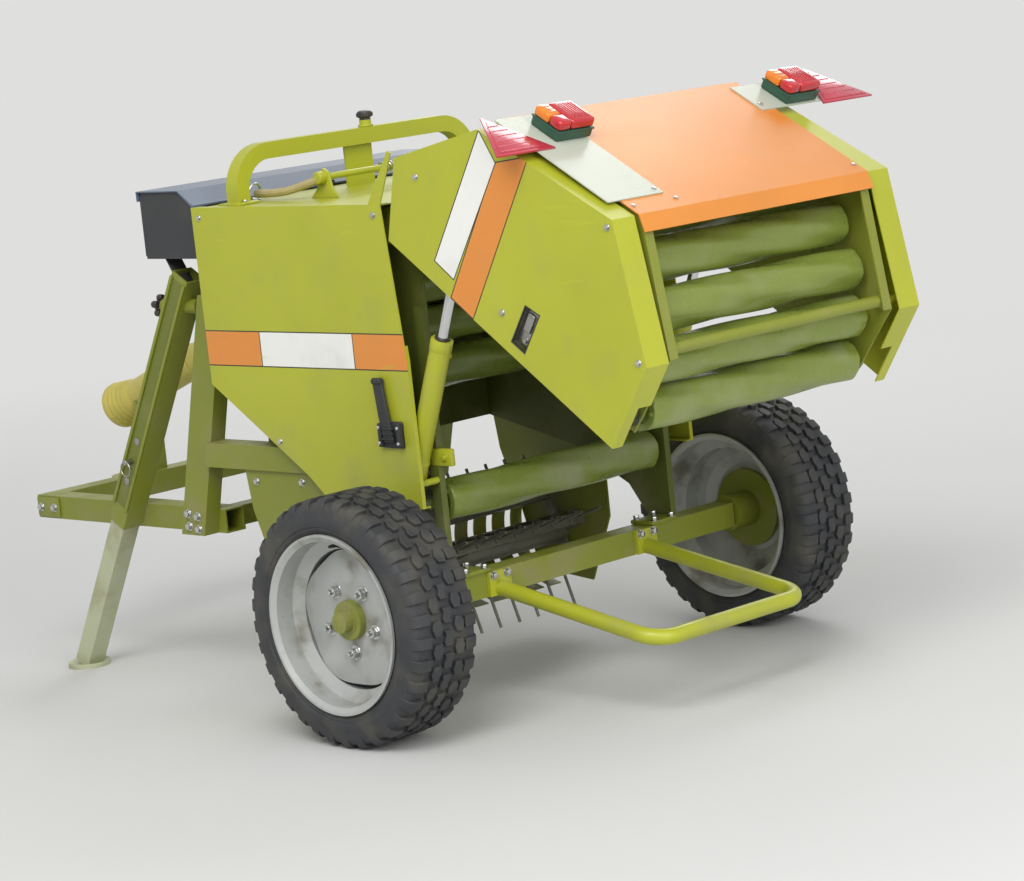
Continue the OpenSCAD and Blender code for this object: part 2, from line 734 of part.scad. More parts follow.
placed() axle();
placed() hub(1);  // hub_left
placed() hub(-1);  // hub_right
placed() rim(1);  // rim_left
placed() rim(-1);  // rim_right
placed() tyre(1);  // tyre_left
placed() tyre(-1);  // tyre_right
placed() chamber_walls();
placed() top_deck();
placed() front_wall();
placed() hinge_brackets();
placed() long_beams();
placed() side_cover();  // side_cover_left
placed() mirror([1, 0, 0]) side_cover();  // side_cover_right
placed() cover_latch();
placed() top_arch();
placed() filler_cap();
placed() twine_box();
placed() twine_box_lugs();
placed() twine_lid();
placed() guide_rail();
placed() gearbox();
placed() pto_shaft();
placed() hitch_beams();
placed() hitch_cross();
placed() hitch_struts_front();
placed() hitch_struts_rear();
placed() parking_leg();
placed() pickup_sides();
placed() pickup_strippers();
placed() pickup_reel();
placed() feed_floor();
placed() bale_ramp();
placed() roller(front_roller(0));  // roller_front_1
placed() roller(front_roller(1));  // roller_front_2
placed() roller(front_roller(2));  // roller_front_3
placed() roller(front_roller(3));  // roller_front_4
placed() roller(front_roller(4));  // roller_front_5
placed() roller(front_roller(5));  // roller_front_6
placed() gate_sides();
placed() gate_cover();  // gate_cover_left
placed() mirror([1, 0, 0]) gate_cover();  // gate_cover_right
placed() gate_lid();
placed() gate_top();
placed() gate_cross_bar();
placed() lamp_plates();
placed() lamp_bodies();
placed() lamp_lenses();
placed() reflectors();
placed() roller(gate_roller(0));  // roller_gate_1
placed() roller(gate_roller(1));  // roller_gate_2
placed() roller(gate_roller(2));  // roller_gate_3
placed() roller(gate_roller(3));  // roller_gate_4
placed() roller(gate_roller(4));  // roller_gate_5
placed() roller(gate_roller(5));  // roller_gate_6
placed() roller(gate_roller(6));  // roller_gate_7
placed() cylinder_pins();
placed() cylinder_barrels();
placed() cylinder_rods();
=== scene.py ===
"""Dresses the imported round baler: finishes, tread, rollers, lamps, fasteners and a plain studio."""
import json
import logging
import math
from dataclasses import dataclass
from enum import Enum
from functools import cached_property
from typing import Iterable, Sequence

import bpy
from mathutils import Matrix, Vector

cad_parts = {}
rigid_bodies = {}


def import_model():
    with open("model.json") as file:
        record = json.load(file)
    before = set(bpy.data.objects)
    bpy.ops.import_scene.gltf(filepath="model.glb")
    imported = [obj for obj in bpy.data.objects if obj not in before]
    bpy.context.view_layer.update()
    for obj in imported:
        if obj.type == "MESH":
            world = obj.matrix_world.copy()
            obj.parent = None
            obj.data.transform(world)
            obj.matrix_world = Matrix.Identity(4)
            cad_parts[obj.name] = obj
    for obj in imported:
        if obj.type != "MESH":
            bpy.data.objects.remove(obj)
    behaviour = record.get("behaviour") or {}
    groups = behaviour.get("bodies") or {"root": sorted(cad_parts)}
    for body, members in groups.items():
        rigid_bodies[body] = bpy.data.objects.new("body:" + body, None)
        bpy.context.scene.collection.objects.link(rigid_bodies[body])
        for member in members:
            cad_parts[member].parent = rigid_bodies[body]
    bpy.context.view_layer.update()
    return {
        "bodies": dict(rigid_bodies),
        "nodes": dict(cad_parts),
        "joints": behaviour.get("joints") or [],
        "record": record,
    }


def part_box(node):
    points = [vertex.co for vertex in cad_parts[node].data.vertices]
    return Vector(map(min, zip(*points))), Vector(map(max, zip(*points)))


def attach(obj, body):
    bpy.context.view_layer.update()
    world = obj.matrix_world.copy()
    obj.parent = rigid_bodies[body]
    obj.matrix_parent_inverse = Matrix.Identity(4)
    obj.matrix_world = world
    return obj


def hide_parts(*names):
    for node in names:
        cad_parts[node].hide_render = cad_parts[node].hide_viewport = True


LOG = logging.getLogger("round_baler")
MM = 0.001
MID_Y = -469.0
SIDES = ((1, "left"), (-1, "right"))
SMOOTH_BELOW = math.radians(32.0)
MERGE_BELOW = 2e-5
WASHER_TALL = 1.6
HEX_EDGE = 50.0

Point = tuple[float, float]
Triple = tuple[float, float, float]
Colour = Triple
Soft = Sequence[float]
Thing = bpy.types.Object
Socket = bpy.types.NodeSocket


def at(x: float, y: float, z: float) -> Vector:
    """Turns millimetres with the axle at y = 0 into a point of the frame in metres."""
    return Vector((x, y - MID_Y, z)) * MM


def both(x: float, *spots: Sequence[float]) -> list[Vector]:
    """Gives points at x on the right and on the left side, one for each [y, z] spot."""
    return [at(side * x, y, z) for side in (-1, 1) for y, z in spots]


def sheet_colour(code: str) -> Colour:
    """Turns a six-digit display colour into linear light."""
    parts = [int(code[i:i + 2], 16) / 255 for i in (0, 2, 4)]
    return tuple(p / 12.92 if p <= 0.04045 else ((p + 0.055) / 1.055) ** 2.4 for p in parts)


def tint(colour: Colour, factor: float) -> Colour:
    """Scales a colour and keeps it within 1."""
    return tuple(min(1.0, c * factor) for c in colour)


class Body(Enum):
    """The rigid bodies that dressed pieces ride on."""

    FRAME = "frame"
    WHEEL_LEFT = "wheel_left"
    WHEEL_RIGHT = "wheel_right"
    TAILGATE = "tailgate"
    LEG = "parking_leg"
    PICKUP = "pickup_reel"
    BARRELS = "cylinder_barrels"
    RODS = "cylinder_rods"


class Slot(Enum):
    """The record's material slots that dressed pieces use."""

    BODY_GREEN = "body_green"
    DARK_GREEN = "dark_green"
    ROLLER_GREEN = "roller_green"
    BOX_GREY = "box_grey"
    RIM_SILVER = "rim_silver"
    TYRE = "tyre"
    RUBBER = "rubber_black"
    SHAFT_YELLOW = "shaft_yellow"
    GEARBOX = "gearbox"
    LEG_PALE = "leg_pale"
    STEEL = "steel"
    LAMP_BODY = "lamp_body"
    LENS_RED = "lens_red"
    REFLECTOR = "reflector"


class Axis(Enum):
    """A turn that lays a cylinder's own axis along a frame axis."""

    X = (0.0, math.pi / 2, 0.0)
    Y = (-math.pi / 2, 0.0, 0.0)
    Z = (0.0, 0.0, 0.0)

    @property
    def run(self) -> Vector:
        """Direction of the axis."""
        return Vector([float(axis is self) for axis in Axis])


class NodeSheet:
    """A node tree with short calls for the nodes that the finishes and the studio use."""

    def __init__(self, owner: bpy.types.Material | bpy.types.World) -> None:
        """Opens the tree of a material or a world."""
        owner.use_nodes = True
        self.owner = owner
        self.tree = owner.node_tree

    @cached_property
    def coords(self) -> Socket:
        """The object's own coordinates."""
        return self.node("ShaderNodeTexCoord").outputs["Object"]

    @property
    def shader(self) -> bpy.types.Node:
        """The material's shader."""
        return self.tree.nodes["Principled BSDF"]

    def node(self, kind: str, **settings: object) -> bpy.types.Node:
        """Adds a node and sets its properties."""
        made = self.tree.nodes.new(kind)
        for key, value in settings.items():
            setattr(made, key, value)
        return made

    def wire(self, value: object, socket: Socket) -> None:
        """Links a socket, or sets a plain number or colour."""
        if isinstance(value, Socket):
            self.tree.links.new(value, socket)
        elif isinstance(value, tuple):
            socket.default_value = (*value, 1.0)
        else:
            socket.default_value = value

    def maths(self, operation: str, a: object, b: object = 0.0) -> Socket:
        """Adds a Math node of two numbers or sockets."""
        made = self.node("ShaderNodeMath", operation=operation)
        self.wire(a, made.inputs[0])
        self.wire(b, made.inputs[1])
        return made.outputs[0]

    def along(self, direction: Sequence[float]) -> Socket:
        """Gives the distance of the shaded point along a direction of the frame."""
        made = self.node("ShaderNodeVectorMath", operation="DOT_PRODUCT")
        self.wire(self.coords, made.inputs[0])
        made.inputs[1].default_value = direction
        return made.outputs["Value"]

    def noise(self, scale: float, detail: float,
              stretch: Sequence[float] = (1.0, 1.0, 1.0)) -> Socket:
        """Adds noise in the object's own coordinates.

        Args:
            scale: cells for each metre.
            detail: octaves.
            stretch: a factor for each axis.

        Returns:
            The noise from 0 to 1.
        """
        mapping = self.node("ShaderNodeMapping")
        self.wire(self.coords, mapping.inputs["Vector"])
        mapping.inputs["Scale"].default_value = stretch
        made = self.node("ShaderNodeTexNoise")
        self.wire(mapping.outputs[0], made.inputs["Vector"])
        self.wire(scale, made.inputs["Scale"])
        self.wire(detail, made.inputs["Detail"])
        return made.outputs["Fac"]

    def fade(self, value: object, low: float, high: float,
             top: float = 1.0) -> Socket:
        """Maps a value smoothly from 0 at low to top at high."""
        made = self.node("ShaderNodeMapRange", interpolation_type="SMOOTHSTEP")
        for number, name in ((value, "Value"), (low, "From Min"), (high, "From Max"),
                             (top, "To Max")):
            self.wire(number, made.inputs[name])
        return made.outputs["Result"]

    def mix(self, share: object, a: object, b: object) -> Socket:
        """Mixes two colours."""
        made = self.node("ShaderNodeMix", data_type="RGBA")
        self.wire(share, made.inputs["Factor"])
        for value, name in ((a, "A"), (b, "B")):
            self.wire(value, next(s for s in made.inputs if s.name == name and s.type == "RGBA"))
        return next(s for s in made.outputs if s.type == "RGBA")

    def blend(self, share: object, a: Socket, b: Socket,
              end: Socket) -> None:
        """Mixes two shaders and feeds them to the tree's end."""
        made = self.node("ShaderNodeMixShader")
        for value, socket in zip((share, a, b), made.inputs):
            self.wire(value, socket)
        self.wire(made.outputs[0], end)

    def seen_rays(self) -> Socket:
        """Gives 1 for rays from the camera, from gloss and through glass."""
        path = self.node("ShaderNodeLightPath")
        share = path.outputs["Is Camera Ray"]
        for name in ("Is Glossy Ray", "Is Transmission Ray"):
            share = self.maths("MAXIMUM", share, path.outputs[name])
        return share

    def dress(self, colour: object, rough: object, height: object, depth: float,
              **extra: float) -> bpy.types.Material:
        """Feeds the shader.

        Args:
            colour: colour socket.
            rough: roughness socket.
            height: height socket for bump.
            depth: bump depth in metres.
            extra: further numbers of the shader, with _ for a space.

        Returns:
            The finished material.
        """
        self.wire(colour, self.shader.inputs["Base Color"])
        self.wire(rough, self.shader.inputs["Roughness"])
        for name, value in extra.items():
            self.wire(value, self.shader.inputs[name.replace("_", " ")])
        bump = self.node("ShaderNodeBump")
        self.wire(0.6, bump.inputs["Strength"])
        self.wire(depth, bump.inputs["Distance"])
        self.wire(height, bump.inputs["Height"])
        self.wire(bump.outputs["Normal"], self.shader.inputs["Normal"])
        return self.owner


@dataclass(frozen=True)
class Mark:
    """A coloured patch on the outer face of a cover, as a convex outline of [y, z] points."""

    outline: tuple[Point, ...]
    colour: Colour
    grow: float = 0.0
    face_x: float = 456.5

    def mask(self, sheet: NodeSheet) -> Socket:
        """Builds a mask on a sheet that is 1 inside the outline on the outer face."""
        middle = sum((Vector(p) for p in self.outline), Vector((0.0, 0.0))) / len(self.outline)
        apart = sheet.maths("ABSOLUTE", sheet.along((1.0, 0.0, 0.0)))
        inside = sheet.maths("GREATER_THAN", apart, self.face_x * MM)
        for here, there in zip(self.outline, self.outline[1:] + self.outline[:1]):
            run = Vector(there) - Vector(here)
            inward = Vector((-run.y, run.x)).normalized()
            if inward.dot(middle - Vector(here)) < 0:
                inward = -inward
            edge = at(0.0, *here)
            limit = inward.x * edge.y + inward.y * edge.z - self.grow * MM
            reach = sheet.along((0.0, inward.x, inward.y))
            inside = sheet.maths("MULTIPLY", inside, sheet.maths("GREATER_THAN", reach, limit))
        return inside


@dataclass(frozen=True)
class Finish:
    """What every finish has: its name, colour and roughness."""

    name: str
    colour: Colour
    rough: float = 0.34

    def sheet(self) -> NodeSheet:
        """Opens a new material of the finish's name."""
        return NodeSheet(bpy.data.materials.new(self.name))


@dataclass(frozen=True)
class Paint(Finish):
    """Sprayed enamel with uneven tone, field dust and small scratches."""

    dust: float = 0.35
    dust_colour: Colour = (0.30, 0.27, 0.15)
    marks: tuple[Mark, ...] = ()
    metallic: float = 0.0

    def build(self) -> bpy.types.Material:
        """Makes the material."""
        sheet = self.sheet()
        light = tint(self.colour, 1.10)
        tone = sheet.mix(sheet.noise(3.2, 3.0), tint(self.colour, 0.84), light)
        for mark in self.marks:
            tone = sheet.mix(mark.mask(sheet), tone, mark.colour)
        low = sheet.fade(sheet.maths("MULTIPLY", sheet.along((0.0, 0.0, 1.0)), -1.0), -1.3, -0.1)
        cloud = sheet.fade(sheet.noise(9.0, 8.0), 0.46, 0.78)
        grime = sheet.maths("MULTIPLY", sheet.maths("ADD", 0.30, low), cloud)
        grime = sheet.maths("MULTIPLY", grime, self.dust)
        tone = sheet.mix(grime, tone, self.dust_colour)
        fleck = sheet.fade(sheet.noise(150.0, 2.0), 0.70, 0.76, 0.5 * self.dust)
        tone = sheet.mix(fleck, tone, tint(self.dust_colour, 0.45))
        scratch = sheet.fade(sheet.noise(34.0, 2.0, (1.0, 0.12, 1.0)), 0.735, 0.75, 0.35)
        tone = sheet.mix(scratch, tone, light)
        rough = sheet.maths("ADD", self.rough, sheet.maths("MULTIPLY", grime, 0.9))
        return sheet.dress(tone, rough, sheet.noise(60.0, 5.0), 0.00025, Metallic=self.metallic)


@dataclass(frozen=True)
class TyreRubber(Finish):
    """Dark rubber with patches of dust."""

    colour: Colour = (0.030, 0.031, 0.034)
    rough: float = 0.62
    dust: float = 0.55
    dust_colour: Colour = (0.13, 0.12, 0.085)

    def build(self) -> bpy.types.Material:
        """Makes the material."""
        sheet = self.sheet()
        tone = sheet.mix(sheet.noise(22.0, 5.0), tint(self.colour, 0.7), tint(self.colour, 1.5))
        cloud = sheet.fade(sheet.noise(12.0, 9.0), 0.42, 0.80, self.dust)
        tone = sheet.mix(cloud, tone, self.dust_colour)
        rough = sheet.maths("ADD", self.rough, sheet.maths("MULTIPLY", cloud, 0.5))
        return sheet.dress(tone, rough, sheet.noise(260.0, 3.0), 0.0004)


@dataclass(frozen=True)
class BareMetal(Finish):
    """Turned, plated or cast metal with fine lines and stains."""

    metallic: float = 1.0
    stain: Colour = (0.10, 0.085, 0.055)
    stained: float = 0.4

    def build(self) -> bpy.types.Material:
        """Makes the material."""
        sheet = self.sheet()
        lines = sheet.noise(90.0, 3.0, (6.0, 1.0, 1.0))
        tone = sheet.mix(lines, tint(self.colour, 0.82), self.colour)
        spots = sheet.fade(sheet.noise(26.0, 8.0), 0.50, 0.74, self.stained)
        tone = sheet.mix(spots, tone, self.stain)
        rough = sheet.maths("ADD", self.rough, sheet.maths("MULTIPLY", spots, 0.5))
        return sheet.dress(tone, rough, lines, 0.00012, Metallic=self.metallic)


@dataclass(frozen=True)
class Moulded(Finish):
    """Moulded plastic, clear or dull."""

    grain: float = 120.0
    coat: float = 0.0
    glow: float = 0.0

    def build(self) -> bpy.types.Material:
        """Makes the material."""
        sheet = self.sheet()
        tone = sheet.mix(sheet.noise(18.0, 6.0), tint(self.colour, 0.75), tint(self.colour, 1.2))
        haze = sheet.fade(sheet.noise(40.0, 6.0), 0.55, 0.85, 0.25)
        return sheet.dress(tone, sheet.maths("ADD", self.rough, haze),
                           sheet.noise(self.grain, 3.0), 0.00015,
                           Coat_Weight=self.coat, Subsurface_Weight=self.glow)


LIME = sheet_colour("b0b42e")
ORANGE = sheet_colour("dd8b3a")
WHITE = sheet_colour("ecece6")
LINE = sheet_colour("33301f")

SIDE_STRIPE = ((-700.0, 822.0), (40.0, 822.0), (40.0, 903.0), (-700.0, 903.0))
SIDE_LABEL = ((-485.0, 822.0), (-155.0, 822.0), (-155.0, 903.0), (-485.0, 903.0))
GATE_STRIPE = ((380.0, 1288.0), (197.0, 991.0), (260.0, 945.0), (483.0, 1298.0))
GATE_LABEL = ((339.0, 1358.0), (156.0, 1074.0), (210.0, 1033.0), (380.0, 1288.0))


def striped(stripe: tuple[Point, ...], label: tuple[Point, ...]) -> tuple[Mark, ...]:
    """Gives an orange stripe and a white area on it, each with a thin dark line round it."""
    return (Mark(stripe, LINE, 3.0), Mark(stripe, ORANGE),
            Mark(label, LINE, 3.0), Mark(label, WHITE))


FINISHES = {
    "lime": Paint("lime_enamel", LIME),
    "side": Paint("side_cover_enamel", LIME, marks=striped(SIDE_STRIPE, SIDE_LABEL)),
    "gate": Paint("gate_cover_enamel", LIME, dust=0.28, marks=striped(GATE_STRIPE, GATE_LABEL)),
    # Frame green: the frame's own darker paint, darkened further as painted shade to match the
    # shadowed rear of the struts.
    "leaf": Paint("frame_enamel", sheet_colour("838a2c"), 0.42, 0.5),
    # Darker green of the front wall and chamber walls: painted shade of the machine's inside.
    "shade": Paint("chamber_enamel", sheet_colour("5c6424"), 0.5, 0.6),
    "roller": Paint("roller_enamel", sheet_colour("7c8a3c"), 0.27, 0.55, (0.36, 0.36, 0.24)),
    "orange": Paint("orange_enamel", ORANGE, 0.22, 0.22, (0.55, 0.30, 0.14)),
    "box": Paint("box_enamel", sheet_colour("343537"), 0.55, 0.5, (0.16, 0.15, 0.13)),
    "lid": Paint("lid_enamel", sheet_colour("5e6b80"), 0.34, 0.4, (0.30, 0.31, 0.30)),
    "rim": Paint("rim_lacquer", sheet_colour("b9bbb8"), 0.38, 0.75, (0.20, 0.18, 0.13),
                 metallic=0.35),
    "pale": Paint("leg_lacquer", sheet_colour("b9bd9c"), 0.45, 0.6),
    # Darker green of the thin sheets between the strut lips: painted shade of the channel's recess.
    "flange": Paint("strut_enamel", sheet_colour("6c7426"), 0.45, 0.5),
    # The lamp board is green-painted sheet; its pale grey-white colour is a painted reflection of the
    # bright sky.
    "plate": Paint("lamp_board_enamel", sheet_colour("bfc4b4"), 0.24, 0.25),
    "tyre": TyreRubber("tyre_rubber"),
    "rubber": TyreRubber("latch_rubber", (0.022, 0.023, 0.024), 0.62, 0.35, (0.10, 0.10, 0.09)),
    "guard": Moulded("guard_plastic", sheet_colour("c6b858"), 0.45, 80.0),
    "hose": Moulded("twine_hose", sheet_colour("b8a878"), 0.5),
    "lamp": Moulded("lamp_housing", sheet_colour("29523f"), 0.38, 90.0),
    "red": Moulded("red_lens", (0.52, 0.012, 0.022), 0.10, 60.0, 0.6, 0.15),
    "amber": Moulded("amber_lens", (0.80, 0.22, 0.01), 0.10, 60.0, 0.6, 0.15),
    "prism": Moulded("prism_red", (0.50, 0.03, 0.06), 0.16, 420.0, 0.4),
    "cap": Moulded("cap_plastic", (0.035, 0.028, 0.026), 0.42, 200.0),
    "casting": BareMetal("gear_casting", (0.085, 0.10, 0.045), 0.5, 0.1),
    "steel": BareMetal("worn_steel", (0.42, 0.41, 0.38), 0.36),
    "chrome": BareMetal("rod_chrome", (0.72, 0.72, 0.72), 0.14, stained=0.2),
    "zinc": BareMetal("zinc_plate", (0.62, 0.63, 0.62), 0.26, stained=0.25),
    "tine": BareMetal("tine_steel", (0.26, 0.25, 0.20), 0.42, 0.8),
}

SOLIDS = {
    "lime": ("gate_top", "cylinder_barrels", "top_deck", "top_arch", "guide_rail", "bale_ramp"),
    "leaf": ("hub_left", "hub_right", "gate_sides", "gate_cross_bar", "hinge_brackets",
             "long_beams", "hitch_beams", "hitch_cross", "hitch_struts_front",
             "hitch_struts_rear", "pickup_sides", "pickup_strippers", "feed_floor", "axle"),
    "side": ("side_cover_left", "side_cover_right"),
    "gate": ("gate_cover_left", "gate_cover_right"),
    "shade": ("front_wall", "chamber_walls"),
    "orange": ("gate_lid",),
    "box": ("twine_box", "twine_box_lugs"),
    "lid": ("twine_lid",),
    "rim": ("rim_left", "rim_right"),
    "plate": ("lamp_plates",),
    "pale": ("parking_leg",),
    "chrome": ("cylinder_rods",),
    "steel": ("cylinder_pins",),
    "guard": ("pto_shaft",),
    "casting": ("gearbox",),
    "tine": ("pickup_reel",),
}


class Bench:
    """Modelling steps as done by hand, each on one object at a time."""

    @staticmethod
    def take(*things: Thing) -> None:
        """Selects only these objects and makes the first one active."""
        bpy.ops.object.select_all(action="DESELECT")
        for thing in things:
            thing.select_set(True)
        if things:
            bpy.context.view_layer.objects.active = things[0]

    @staticmethod
    def named(name: str) -> Thing:
        """Names the active object and applies its place."""
        made = bpy.context.object
        made.name = name
        made.data.name = name
        bpy.ops.object.transform_apply(location=True, rotation=True, scale=True)
        return made

    @classmethod
    def soften(cls, thing: Thing, width: float = 0.0, segments: int = 2,
               angle: float = 35.0) -> Thing:
        """Bevels the edges sharper than an angle by a width in millimetres, if there is one."""
        if width > 0:
            cls.take(thing)
            bevel = thing.modifiers.new("edge", "BEVEL")
            bevel.width = width * MM
            bevel.segments = segments
            bevel.angle_limit = math.radians(angle)
            bpy.ops.object.modifier_apply(modifier=bevel.name)
        return thing

    @classmethod
    def rod(cls, name: str, radius: float, length: float, centre: Vector,
            axis: Axis | Triple = Axis.X, sides: int = 32, soft: Soft = (),
            tip: float | None = None) -> Thing:
        """Adds a cylinder or cone.

        Args:
            name: name of the object.
            radius: radius in millimetres.
            length: length in millimetres.
            centre: middle point in metres.
            axis: frame axis that it lies along, or its turn.
            sides: number of sides.
            soft: width, segments and angle of its bevel, if any.
            tip: radius at the far end, where it tapers.

        Returns:
            The object.
        """
        cls.take()
        bpy.ops.mesh.primitive_cone_add(
            vertices=sides, radius1=radius * MM, radius2=(radius if tip is None else tip) * MM,
            depth=length * MM, location=centre,
            rotation=axis.value if isinstance(axis, Axis) else axis)
        return cls.soften(cls.named(name), *soft)

    @classmethod
    def block(cls, name: str, size: Sequence[float], centre: Vector, soft: Soft = (),
              turn: Sequence[float] = (0.0, 0.0, 0.0)) -> Thing:
        """Adds a box of a size in millimetres, turned about its middle, with its bevel."""
        cls.take()
        bpy.ops.mesh.primitive_cube_add(size=1.0, location=centre, rotation=turn)
        bpy.context.object.scale = Vector(size) * MM
        return cls.soften(cls.named(name), *soft)

    @classmethod
    def torus(cls, name: str, radius: float, thin: float, centre: Vector, turn: Sequence[float],
              steps: tuple[int, int] = (32, 10)) -> Thing:
        """Adds a ring of round wire with its radii in millimetres."""
        cls.take()
        bpy.ops.mesh.primitive_torus_add(
            major_radius=radius * MM, minor_radius=thin * MM, major_segments=steps[0],
            minor_segments=steps[1], location=centre, rotation=turn)
        return cls.named(name)

    @classmethod
    def loop(cls, name: str, points: Sequence[Vector]) -> Thing:
        """Draws a closed chain of edges in edit mode, one extruded point after another."""
        cls.take()
        bpy.ops.mesh.primitive_plane_add(size=0.001, location=points[0])
        made = cls.named(name)
        bpy.ops.object.mode_set(mode="EDIT")
        bpy.ops.mesh.select_all(action="SELECT")
        bpy.ops.mesh.merge(type="CENTER")
        chain = [*points, points[0]]
        for here, there in zip(chain, chain[1:]):
            bpy.ops.mesh.extrude_vertices_move(TRANSFORM_OT_translate={"value": there - here})
        bpy.ops.mesh.select_all(action="SELECT")
        bpy.ops.mesh.remove_doubles(threshold=1e-6)
        return made

    @staticmethod
    def close_up() -> None:
        """Merges doubles and turns the faces outwards, then leaves edit mode."""
        bpy.ops.mesh.select_all(action="SELECT")
        bpy.ops.mesh.remove_doubles(threshold=MERGE_BELOW)
        bpy.ops.mesh.normals_make_consistent(inside=False)
        bpy.ops.object.mode_set(mode="OBJECT")

    @classmethod
    def prism(cls, name: str, points: Sequence[Vector], run: Vector,
              soft: Soft = ()) -> Thing:
        """Fills a closed outline and extrudes it along a vector, with its bevel."""
        made = cls.loop(name, points)
        bpy.ops.mesh.select_all(action="SELECT")
        bpy.ops.mesh.edge_face_add()
        bpy.ops.mesh.extrude_region_move(TRANSFORM_OT_translate={"value": run})
        cls.close_up()
        return cls.soften(made, *soft)

    @classmethod
    def lathe(cls, name: str, points: Sequence[Vector], centre: Vector, axis: Vector,
              steps: int) -> Thing:
        """Spins a closed profile about an axis.

        Args:
            name: name of the object.
            points: profile corners in metres.
            centre: point on the axis.
            axis: direction of the axis.
            steps: number of steps.

        Returns:
            The object.
        """
        made = cls.loop(name, points)
        bpy.ops.mesh.select_all(action="SELECT")
        bpy.ops.mesh.spin(steps=steps, angle=math.tau, center=centre, axis=axis)
        cls.close_up()
        return made

    @classmethod
    def pipe(cls, name: str, points: Sequence[Vector], radius: float) -> Thing:
        """Sweeps a round section along a smooth line of points."""
        data = bpy.data.curves.new(name, "CURVE")
        data.dimensions = "3D"
        data.bevel_depth = radius * MM
        data.bevel_resolution = 3
        data.resolution_u = 6
        data.use_fill_caps = True
        spline = data.splines.new("BEZIER")
        spline.bezier_points.add(len(points) - 1)
        for knot, place in zip(spline.bezier_points, points):
            knot.co = place
            knot.handle_left_type = knot.handle_right_type = "AUTO"
        made = bpy.data.objects.new(name, data)
        bpy.context.scene.collection.objects.link(made)
        cls.take(made)
        bpy.ops.object.convert(target="MESH")
        return bpy.context.object

    @classmethod
    def join(cls, name: str, things: Iterable[Thing]) -> Thing:
        """Joins several objects into one piece."""
        group = list(things)
        cls.take(*group)
        if len(group) > 1:
            bpy.ops.object.join()
        return cls.named(name)

    @staticmethod
    def twin(thing: Thing, place: Matrix) -> Thing:
        """Copies an object and moves the copy by a matrix."""
        made = thing.copy()
        made.data = thing.data.copy()
        bpy.context.scene.collection.objects.link(made)
        made.matrix_world = place
        return made

    @classmethod
    def copies(cls, name: str, thing: Thing,
               places: Iterable[Matrix]) -> Thing:
        """Copies an object, which is used up, by each matrix and joins the copies."""
        group = [cls.twin(thing, place) for place in places]
        bpy.data.objects.remove(thing)
        return cls.join(name, group)


class Dresser:
    """Puts a finish on pieces and on the solids of the frame, and says what each piece rides on."""

    def __init__(self, frame: dict) -> None:
        """Keeps the loaded frame and builds every finish once."""
        self.nodes: dict[str, Thing] = frame["nodes"]
        self.materials = {key: finish.build() for key, finish in FINISHES.items()}
        self.count = 0

    def coat(self, thing: Thing, finish: str) -> None:
        """Gives an object one material."""
        thing.data.materials.clear()
        thing.data.materials.append(self.materials[finish])

    def solids(self) -> None:
        """Gives the solids of the frame their finishes."""
        for finish, names in SOLIDS.items():
            for name in names:
                self.coat(self.nodes[name], finish)

    def piece(self, name: str, things: Iterable[Thing], finish: str,
              body: Body | str, stands_for: str | None) -> None:
        """Joins objects into one piece and finishes it.

        Args:
            name: name of the piece.
            things: the objects, in place.
            finish: short name of its finish.
            body: the body that it rides on.
            stands_for: the solid that it replaces, if any.
        """
        thing = Bench.join(name, things)
        self.coat(thing, finish)
        Bench.take(thing)
        bpy.ops.object.shade_smooth_by_angle(angle=SMOOTH_BELOW)
        rides_on = body.value if isinstance(body, Body) else body
        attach(thing, rides_on)
        if stands_for:
            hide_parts(stands_for)
        self.count += 1
        LOG.info("%s rides on %s, %d faces", name, rides_on, len(thing.data.polygons))


def hex_bolt(place: Vector, axis: Axis, across: float, tall: float, flip: bool = False) -> Thing:
    """Models a hexagon head on its washer, standing up from a face.

    Args:
        place: point on the face, in metres.
        axis: frame axis that it stands up along; along X it points away from the middle.
        across: width over the flats in millimetres.
        tall: height of the head in millimetres.
        flip: whether it stands up against the axis.

    Returns:
        The object.
    """
    against = flip or (axis is Axis.X and place.x < 0)
    up = axis.run * MM * (-1 if against else 1)
    washer = Bench.rod("washer", across * 0.78, WASHER_TALL, place + up * (WASHER_TALL / 2), axis,
                       20, (0.4, 1))
    head = Bench.rod("head", across * 0.577, tall, place + up * (WASHER_TALL + tall / 2), axis, 6,
                     (0.9, 2, HEX_EDGE))
    return Bench.join("bolt", (washer, head))


def turns(centre: Vector, count: int, offset: float = 0.0, axis: Axis = Axis.X) -> list[Matrix]:
    """Gives the places of a pattern round a frame axis through a centre."""
    there = Matrix.Translation(centre)
    back = Matrix.Translation(-centre)
    return [there @ Matrix.Rotation(math.tau * (i + offset) / count, 4, axis.name) @ back
            for i in range(count)]


@dataclass
class Part:
    """A group of pieces of the machine."""

    dresser: Dresser

    def add(self, name: str, things: Iterable[Thing], finish: str,
            body: Body | str = Body.FRAME, stands_for: str | None = None) -> None:
        """Hands one piece to the dresser."""
        self.dresser.piece(name, things, finish, body, stands_for)


